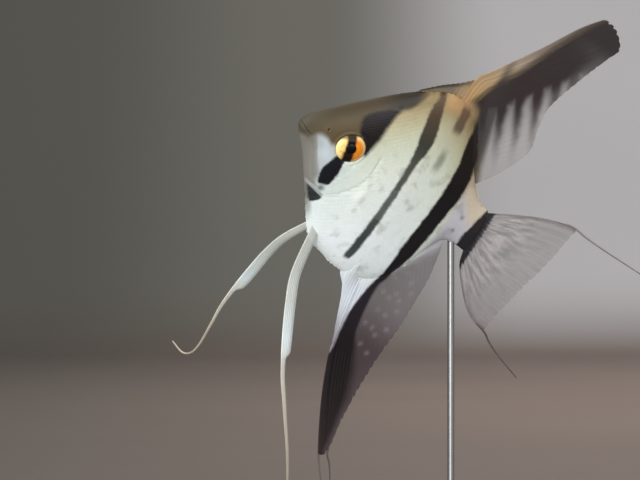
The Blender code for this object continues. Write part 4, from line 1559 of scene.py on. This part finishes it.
dorsal_film = dorsal_finish()
print("nodes in the dorsal fin's finish:", len(dorsal_film.node_tree.nodes))

# %% The anal fin's finish
# Pale spots of the film, the largest first.
ANAL_SPOTS = [(0.222, -0.420), (0.180, -0.432), (0.130, -0.330), (0.160, -0.402), (0.130, -0.424),
              (0.205, -0.345), (0.168, -0.300), (0.100, -0.372), (0.196, -0.500), (0.150, -0.508),
              (0.112, -0.470), (0.172, -0.582), (0.140, -0.604), (0.215, -0.575), (0.108, -0.560),
              (0.180, -0.665), (0.126, -0.690), (0.150, -0.240), (0.190, -0.250)]


def anal_finish():
    """White front, a black band that reaches the tip, and spotted lavender film behind it."""
    finish = Finish("angelfish_anal_fin")
    x, z, ray = finish.x, finish.z, finish.attribute("ray")
    cloud = finish.noise(finish.place, 13.0, 3.0) - 0.5
    ragged = x + cloud * 0.016
    rear_edge = finish.curve(z, BARS["rear"]["rear"])
    front_edge = finish.curve(z, BARS["rear"]["front"])
    soft_rear = z.below(-0.70, 0.10) * 0.030 + 0.010
    share = (ragged - rear_edge) / soft_rear * 0.5 + 0.5
    band = share.above(0.5, 0.5) * ragged.below(front_edge, 0.008)
    white = ragged.above(front_edge, 0.008)
    haze = finish.mix(z.below(-0.62, 0.10), paint(226, 232, 240), paint(150, 146, 156))
    dusk = z.between(-1.00, -0.56, 0.12)
    spots = spot(finish, *ANAL_SPOTS[0], 0.008, 0.016)
    for place in ANAL_SPOTS[1:]:
        spots = spots.most(spot(finish, *place, 0.007, 0.016))
    colour = layered(finish, paint(104, 94, 101),
                     (dusk, paint(62, 48, 58)),
                     (spots * 0.40, paint(184, 174, 180)),
                     (white, haze),
                     (band, rear_bar_colour(finish)),
                     (ray * 0.04, paint(150, 138, 140)))
    hidden = 0.50 + dusk * 0.26 + ray * 0.05 + spots * 0.08
    hidden = hidden + white * (0.96 - hidden)
    hidden = hidden + band * (NEARLY_SOLID - hidden)
    colour, hidden = from_body(finish, colour, hidden)
    return film_shader(finish, colour, hidden.least(NEARLY_SOLID))


anal_film = anal_finish()
print("nodes in the anal fin's finish:", len(anal_film.node_tree.nodes))

# %% The tail fin's finish
TAIL_BAND_STEP = 0.13


def tail_finish():
    """Smoky film with pale and dark streaks along the rays, and a dark bar at the root."""
    finish = Finish("angelfish_tail_fin")
    ray, along, outward = (finish.attribute(name) for name in ("ray", "along", "outward"))
    reach = finish.node("ShaderNodeCombineXYZ", None, {0: along * 15.0, 1: outward * 2.6})
    streaks = finish.noise(reach.outputs[0], 1.7, 2.0)
    inner = outward.between(0.06, 0.62, 0.18)
    pale = streaks.above(0.56, 0.10) * inner
    dark = streaks.below(0.44, 0.10) * (0.35 + inner * 0.65)
    bands = (outward * (FULL_TURN / TAIL_BAND_STEP) + streaks * 5.0).wave() * 0.25
    edge = along.below(0.03, 0.02).most(along.above(0.975, 0.015))
    beyond = (finish.x + (streaks * 0.030 + ray * 0.008)).below(-0.026, 0.007)
    film = layered(finish, paint(144, 136, 135),
                   (bands, paint(166, 158, 156)),
                   (dark * 0.6, paint(96, 89, 91)),
                   (pale * 0.85, paint(202, 191, 188)),
                   (edge * 0.6, paint(96, 90, 88)))
    colour = layered(finish, paint(28, 25, 30),
                     (beyond, film),
                     (finish.x.above(0.01, 0.01), body_colour(finish)))
    film_hidden = 0.46 + dark * 0.12 + pale * 0.14 + ray * 0.05 + edge * 0.20
    root = finish.attribute("root").above(0.30, 0.26)
    at_root = film_hidden.most(root * 0.98).most(0.98 * (1 - beyond))
    hidden = at_root * (1 - beyond) + film_hidden * beyond
    return film_shader(finish, colour, hidden.least(NEARLY_SOLID))


tail_film = tail_finish()
print("nodes in the tail fin's finish:", len(tail_film.node_tree.nodes))

# %% [markdown]
# ## The fins in the middle plane
#
# The dorsal and anal fins each have a low spiny front and a tall soft sail; the tail fin is one
# fan. The bases start inside the skin, so no gap opens where film meets flesh.

# %% Edges of the fins in the middle plane
DORSAL_SPINES = {
    "base": [(0.632, 0.350), (0.56, 0.385), (0.48, 0.418), (0.399, 0.415)],
    "leading": [(0.632, 0.350), (0.600, 0.414)],
    "margin": [(0.600, 0.414), (0.53, 0.470), (0.45, 0.523), (0.399, 0.564)],
    "trailing": [(0.399, 0.415), (0.399, 0.564)],
}
DORSAL_SAIL = {
    "base": [(0.400, 0.415), (0.31, 0.385), (0.232, 0.290), (0.150, 0.150)],
    "leading": [(0.400, 0.415), (0.397, 0.565), (0.35, 0.63), (0.21, 0.812), (0.10, 0.970),
                (0.015, 1.062)],
    "margin": [(0.015, 1.062), (-0.06, 1.045), (-0.130, 0.980), (-0.105, 0.915), (-0.04, 0.77),
               (0.015, 0.62), (0.008, 0.52), (-0.020, 0.41), (0.03, 0.29), (0.085, 0.215)],
    "trailing": [(0.150, 0.150), (0.085, 0.215)],
}
ANAL_SPINES = {
    "base": [(0.480, -0.335), (0.42, -0.335), (0.362, -0.325)],
    "leading": [(0.480, -0.335), (0.474, -0.385), (0.452, -0.440)],
    "margin": [(0.452, -0.440), (0.42, -0.470), (0.39, -0.520), (0.35, -0.610), (0.298, -0.730)],
    "trailing": [(0.362, -0.325), (0.364, -0.380), (0.342, -0.540), (0.298, -0.730)],
}
ANAL_SAIL = {
    "base": [(0.367, -0.370), (0.29, -0.330), (0.235, -0.230), (0.130, -0.075)],
    "leading": [(0.367, -0.370), (0.340, -0.540), (0.296, -0.735), (0.25, -0.850), (0.19, -0.970),
                (0.12, -1.090), (0.062, -1.180)],
    "margin": [(0.062, -1.180), (0.030, -1.150), (0.048, -1.03), (0.058, -0.92), (0.065, -0.80),
               (0.068, -0.66), (0.060, -0.52), (0.062, -0.39), (0.065, -0.27), (0.088, -0.150)],
    "trailing": [(0.130, -0.075), (0.088, -0.150)],
}
TAIL_FAN = {
    "base": [(-0.008, 0.090), (-0.008, 0.0), (-0.008, -0.101)],
    "leading": [(-0.008, 0.090), (-0.14, 0.145), (-0.23, 0.177), (-0.32, 0.202), (-0.405, 0.216),
                (-0.440, 0.211)],
    "margin": [(-0.440, 0.211), (-0.428, 0.150), (-0.415, 0.080), (-0.390, -0.02), (-0.362, -0.12),
               (-0.340, -0.22), (-0.320, -0.30), (-0.312, -0.365)],
    "trailing": [(-0.008, -0.101), (-0.030, -0.165), (-0.095, -0.240), (-0.17, -0.310),
                 (-0.24, -0.350), (-0.312, -0.365)],
}
print("edge points of the dorsal sail:", sum(len(edge) for edge in DORSAL_SAIL.values()))

# %% Dorsal, anal and tail fins
def make_fin(name, edges, finish, nodes, slot, **shape):
    near, far, fields = fin_grids(edges, **shape)
    fin = shell_piece(name, near, far, finish, fields)
    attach(fin, "root")
    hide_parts(*nodes)
    print(name, "faces:", len(fin.data.polygons))


make_fin("dorsal_fin_front", DORSAL_SPINES, dorsal_film, ["dorsal_fin_spines"], "dorsal_fin_skin",
         rays=11, columns=111, rows=30, fork=0.99, fray=0.05, ripple=0.0, sheath=0.011,
         sheath_reach=0.030, seed=3)
make_fin("dorsal_fin_rear", DORSAL_SAIL, dorsal_film, ["dorsal_fin_sail"], "dorsal_fin_skin",
         rays=30, columns=301, rows=90, fray=0.010, ripple=0.004, stout=0.12 * MILLIMETRE,
         sheath=0.019, sheath_reach=0.085, seed=5)
make_fin("anal_fin_front", ANAL_SPINES, anal_film, ["anal_fin_spines"], "anal_fin_skin",
         rays=6, columns=73, rows=66, fork=0.99, fray=0.03, ripple=0.0, sheath=0.036,
         sheath_reach=0.088, seed=7)
make_fin("anal_fin_rear", ANAL_SAIL, anal_film, ["anal_fin_sail"], "anal_fin_skin",
         rays=28, columns=281, rows=90, fray=0.018, ripple=0.005, stout=0.4 * MILLIMETRE,
         sheath=0.014, sheath_reach=0.065, seed=11)
make_fin("tail_fin_fan", TAIL_FAN, tail_film, ["tail_fin"], "tail_fin_skin",
         rays=16, columns=177, rows=80, fork=0.35, fray=0.008, ripple=0.003,
         stout=0.3 * MILLIMETRE, sheath=0.015, sheath_reach=0.045, seed=13)

# %% [markdown]
# ## Pectoral fins
#
# The pair behind the gill covers is glass-clear and stands away from the flank. It is the same
# kind of patch, turned about its root.

# %% Pectoral fins
PECTORAL = {
    "base": [(0.012, 0.026), (0.012, 0.0), (0.012, -0.026)],
    "leading": [(0.012, 0.026), (-0.09, 0.062), (-0.175, 0.078)],
    "margin": [(-0.175, 0.078), (-0.212, 0.045), (-0.215, 0.0), (-0.190, -0.045), (-0.135, -0.078)],
    "trailing": [(0.012, -0.026), (-0.065, -0.060), (-0.135, -0.078)],
}
PECTORAL_SPREAD = math.radians(27.0)
PECTORAL_DROOP = math.radians(16.0)
PECTORAL_SIDE = 0.076


def pectoral_finish():
    finish = Finish("angelfish_pectoral_fin")
    ray = finish.attribute("ray")
    root = finish.attribute("outward").below(0.06, 0.06)
    colour = finish.mix(root, paint(200, 206, 200), paint(214, 222, 220))
    return film_shader(finish, colour, 0.02 + ray * 0.05 + root * 0.36, 0.4)


def make_pectoral(side_name, side, finish):
    near, far, fields = fin_grids(PECTORAL, rays=11, columns=111, rows=44, fork=0.35, fray=0.03,
                                  ripple=0.003, seed=17)
    turn = np.array(Matrix.Rotation(-side * PECTORAL_SPREAD, 3, "Z")
                    @ Matrix.Rotation(PECTORAL_DROOP, 3, "Y"))
    root = np.array((PECTORAL_ROOT[0], side * PECTORAL_SIDE, PECTORAL_ROOT[1]))
    near, far = (grid @ turn.T + root for grid in (near, far))
    fin = shell_piece("pectoral_fan_" + side_name, near, far, finish, fields)
    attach(fin, "root")
    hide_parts("pectoral_fin_" + side_name)


pectoral_film = pectoral_finish()
for side_name, side in (("left", 1), ("right", -1)):
    make_pectoral(side_name, side, pectoral_film)
print("nodes in the pectoral fins' finish:", len(pectoral_film.node_tree.nodes))

# %% [markdown]
# ## Feelers
#
# The pelvic fins are drawn out into long white feelers. Each is a ribbon along its own path: a
# stiff ray in front, soft rays behind it, wide at the root and a thread at the end. The ribbon
# is the same closed pair of faces as a fin, only its plane turns as the path does.

# %% The feelers' finish
MILK_COLOURS = [(0.0, paint(194, 196, 189)), (0.28, paint(200, 204, 198)), (0.42, paint(218, 228, 230)),
                (0.52, paint(206, 203, 192)), (0.70, paint(184, 173, 156)), (1.0, paint(156, 145, 128))]


def pelvic_finish():
    """Milky blade, whitest where it ends, with a solid front ray and a creamier thread, and painted light
    on the right feeler.
    """
    finish = Finish("angelfish_pelvic_fin")
    ray, along, across = (finish.attribute(name) for name in ("ray", "along", "across"))
    cloud = finish.noise(finish.place, 20.0, 3.0)
    colour = finish.mix(across.below(0.30, 0.25) * 0.35, finish.ramp(along, 0.0, 1.0, MILK_COLOURS),
                        paint(150, 156, 160))
    # Painted light: the right feeler turns away from the lamps, so it is painted about a third lighter.
    colour = finish.shaded(colour, 0.96 + ray * 0.06 + finish.y.below(0.0, 0.01) * 0.34)
    colour = finish.mix(cloud.above(0.60, 0.10) * 0.15, colour, paint(170, 172, 172))
    hidden = 0.80 + ray * 0.16 - across.below(0.16, 0.14) * 0.30
    return film_shader(finish, colour, hidden.least(0.97), 0.34)


milky = pelvic_finish()
print("nodes in the feelers' finish:", len(milky.node_tree.nodes))

# %% Paths of the feelers
PELVIC_PATHS = {
    "left": [(0.690, 0.028, -0.325), (0.693, 0.086, -0.505), (0.668, 0.134, -0.620),
             (0.612, 0.200, -0.778), (0.590, 0.225, -0.837), (0.550, 0.247, -0.920),
             (0.484, 0.289, -1.037), (0.409, 0.337, -1.162), (0.330, 0.390, -1.310)],
    "right": [(0.697, -0.028, -0.325), (0.724, -0.092, -0.430), (0.728, -0.142, -0.530),
              (0.722, -0.190, -0.660), (0.711, -0.250, -0.832), (0.695, -0.275, -0.940),
              (0.678, -0.298, -1.035), (0.678, -0.320, -1.092), (0.700, -0.350, -1.115),
              (0.742, -0.400, -1.100)],
}
PELVIC_WIDTHS = {
    "left": [(0.0, 0.046), (0.12, 0.050), (0.30, 0.051), (0.44, 0.047), (0.475, 0.040),
             (0.495, 0.025), (0.53, 0.021), (0.75, 0.016), (1.0, 0.010)],
    "right": [(0.0, 0.036), (0.15, 0.044), (0.30, 0.053), (0.42, 0.055), (0.470, 0.048),
              (0.495, 0.026), (0.53, 0.021), (0.68, 0.014), (1.0, 0.006)],
}
# Distance of the stiff front ray from the path, so that the blade ends at its rear edge alone.
PELVIC_FRONT = [(0.0, 0.021), (0.30, 0.023), (0.43, 0.023), (0.56, 0.016), (0.70, 0.008), (1.0, 0.004)]
PELVIC_THICKNESS = [(0.0, 0.62), (0.4, 0.50), (0.75, 0.42), (1.0, 0.30)]
PELVIC_ROWS = 170
PELVIC_COLUMNS = 45
PELVIC_RAYS = 6
PELVIC_PARTS = ("_blade", "_thread", "_tip")
print("points of the feelers' paths:", [len(path) for path in PELVIC_PATHS.values()])

# %% Feelers
def directions(spine):
    """Unit directions along a path, across it in the side view, and square to both."""
    ahead = np.gradient(spine, axis=0)
    ahead /= np.linalg.norm(ahead, axis=1, keepdims=True)
    across = np.cross(ahead, (0.0, 1.0, 0.0))
    across /= np.linalg.norm(across, axis=1, keepdims=True)
    return ahead, across, np.cross(across, ahead)


def feeler_relief(c):
    """Height of the rays across the ribbon, -1 to 1, and the part of it that is the front ray."""
    front = bell(c - 0.84, 0.16)
    soft = bell(((c * 0.5 + 0.5) * PELVIC_RAYS) % 1.0 - 0.5, 0.24)
    return np.maximum(soft, front), front


def make_feeler(side_name, finish):
    centre = through(PELVIC_PATHS[side_name])
    t = np.linspace(-0.02, 1.0, PELVIC_ROWS)
    inside = np.clip(t, 0.0, 1.0)
    spine = centre(inside) + (centre(0.01) - centre(0.0)) / 0.01 * (t - inside)[:, None]
    _, wide, thick = directions(spine)
    width = profile(PELVIC_WIDTHS[side_name])(inside)[None, :, None]
    depth = profile(PELVIC_THICKNESS)(inside)[None, :, None] * MILLIMETRE
    c = np.linspace(-1.0, 1.0, PELVIC_COLUMNS)[:, None] + 0 * t[None, :]
    ray, front = feeler_relief(c)
    edge = np.sqrt(np.clip(1 - c ** 2, 0.0, 1.0))[..., None]
    half = 0.5 * depth * edge * (0.60 + 0.12 * ray[..., None] + 0.20 * front[..., None])
    lead = profile(PELVIC_FRONT)(inside)[None, :, None]
    middle = spine[None] + wide[None] * (lead + (c[..., None] - 1.0) * width / 2)
    along = inside[None, :] + 0 * c
    fields = {"ray": ray, "along": along, "across": c * 0.5 + 0.5, "outward": along * 4.0}
    feeler = shell_piece("feeler_" + side_name, middle + thick[None] * half, middle - thick[None] * half,
                         finish, fields)
    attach(feeler, "root")
    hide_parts(*("pelvic_fin_" + side_name + part for part in PELVIC_PARTS))
    return feeler


for side_name in PELVIC_PATHS:
    print("feeler faces:", len(make_feeler(side_name, milky).data.polygons))

# %% [markdown]
# ## Filaments
#
# The outermost rays of the tail and anal fins run on as bare threads. A swept circle that tapers
# is enough; each starts inside its fin, so thread and fin are one line.

# %% Filaments
FILAMENTS = {
    "tail_filament_upper": ("tail_fin_skin", [(-0.330, 0.0, 0.203), (-0.411, 0.0, 0.216),
                            (-0.50, 0.006, 0.203), (-0.62, 0.012, 0.193), (-0.835, 0.009, 0.179)]),
    "tail_filament_lower": ("tail_fin_skin", [(-0.255, 0.0, -0.352), (-0.317, 0.0, -0.369),
                            (-0.378, -0.006, -0.403), (-0.46, -0.014, -0.437), (-0.60, -0.022, -0.484)]),
    "anal_filament_front": ("anal_fin_skin", [(0.105, 0.0, -1.108), (0.051, 0.0, -1.190),
                            (0.027, 0.004, -1.223), (-0.005, 0.010, -1.262), (-0.055, 0.020, -1.318)]),
    "anal_filament_rear": ("anal_fin_skin", [(0.044, 0.0, -1.110), (0.024, 0.0, -1.158),
                           (-0.012, -0.004, -1.192), (-0.050, -0.010, -1.236), (-0.080, -0.016, -1.275)]),
}
THREAD_SIDES = 12
THREAD_STEPS = 60
THREAD_RADIUS = 0.40 * MILLIMETRE


def filament_finish():
    finish = Finish("angelfish_filament")
    cloud = finish.noise(finish.place, 40.0, 2.0)
    colour = finish.mix(cloud, paint(84, 72, 68), paint(112, 100, 96))
    colour = finish.mix(finish.z.above(0.0, 0.05), colour, paint(138, 128, 130))
    finish.set(base_color=colour, roughness=0.42)
    return finish.material


def make_thread(name, path, finish):
    t = np.linspace(0.0, 1.0, THREAD_STEPS)
    spine = through(path)(t)
    ahead, across, other = directions(spine)
    turn = np.linspace(0.0, FULL_TURN, THREAD_SIDES, endpoint=False)[None, :, None]
    radius = THREAD_RADIUS * (1 - 0.50 * t) * np.minimum(1.0, 0.5 + t * 4)
    ring = across[:, None] * np.cos(turn) + other[:, None] * np.sin(turn)
    skin_points = (spine[:, None] + ring * radius[:, None, None]).reshape(-1, 3)
    vertices = np.vstack([skin_points, spine[-1] + ahead[-1] * radius[-1], spine[0]])
    faces, _ = tube(THREAD_STEPS, THREAD_SIDES)
    thread = mesh_from(name + "_thread", to_world(vertices), faces, finish)
    turn_faces_out(thread.data)
    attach(thread, "root")
    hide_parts(name)


thread_finish = filament_finish()
for name, (slot, path) in FILAMENTS.items():
    make_thread(name, path, thread_finish)
print("filaments:", len(FILAMENTS))

# %% [markdown]
# ## The stand
#
# The stand is made, not grown. Its rod and collar are right as solids, so they keep their meshes
# and only get a finish of brushed steel. The base is turned afresh in fine steps, at the same
# size, because its round edge is close enough to show flats. It is satin black with a fine grain.

# %% The stand's finishes
def base_finish():
    finish = Finish("satin_black")
    grain = finish.noise(finish.metres, 900.0, 3.0)
    colour = finish.mix(grain, paint(34, 34, 36), paint(46, 46, 48))
    finish.set(base_color=colour, roughness=0.30 + finish.noise(finish.metres, 60.0) * 0.16)
    finish.bump(grain, 0.00003, 0.4)
    return finish.material


def steel_finish():
    finish = Finish("brushed_steel")
    inputs = {"Vector": finish.metres, "Scale": (260.0, 260.0, 9000.0)}
    stretched = finish.node("ShaderNodeMapping", None, inputs)
    lines = finish.noise(stretched.outputs[0], 1.0, 2.0)
    colour = finish.mix(lines, paint(128, 127, 126), paint(150, 149, 148))
    finish.set(base_color=colour, metallic=1.0, roughness=0.36 + lines * 0.14)
    return finish.material


black, steel = base_finish(), steel_finish()
print("finishes of the stand:", black.name, "and", steel.name)

# %% The stand
BASE_RADIUS = 0.038
BASE_HEIGHT = 0.006
BASE_EDGE = 0.0012
BASE_FOOT = 0.0004
BASE_STEPS = 160
EDGE_STEPS = 9


def base_outline():
    """(distance from the axis, height), with a rounded edge above and a small one below."""
    line = [(0.0, BASE_HEIGHT)]
    line += [(BASE_RADIUS - BASE_EDGE * (1 - math.sin(t)), BASE_HEIGHT - BASE_EDGE * (1 - math.cos(t)))
             for t in np.linspace(0.0, math.pi / 2, EDGE_STEPS)]
    return line + [(BASE_RADIUS, BASE_FOOT), (BASE_RADIUS - BASE_FOOT, 0.0), (0.0, 0.0)]


def make_base(finish):
    mesh = bmesh.new()
    points = [mesh.verts.new((x, 0.0, z)) for x, z in base_outline()]
    edges = [mesh.edges.new(pair) for pair in zip(points, points[1:])]
    bmesh.ops.spin(mesh, geom=points + edges, cent=(0, 0, 0), axis=(0, 0, 1), dvec=(0, 0, 0),
                   angle=FULL_TURN, steps=BASE_STEPS, use_duplicate=False)
    bmesh.ops.remove_doubles(mesh, verts=mesh.verts, dist=1e-6)
    bmesh.ops.recalc_face_normals(mesh, faces=mesh.faces)
    data = bpy.data.meshes.new("turned_base")
    mesh.to_mesh(data)
    mesh.free()
    data.shade_smooth()
    data.set_sharp_from_angle(angle=math.radians(35.0))
    data.materials.append(finish)
    base = bpy.data.objects.new("turned_base", data)
    bpy.context.scene.collection.objects.link(base)
    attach(base, "root")
    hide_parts("stand_base")
    return base


def dress(node, finish):
    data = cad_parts[node].data
    data.materials.clear()
    data.materials.append(finish)


base = make_base(black)
for node in ("stand_rod", "stand_collar"):
    dress(node, steel)
print("base faces:", len(base.data.polygons))

# %% [markdown]
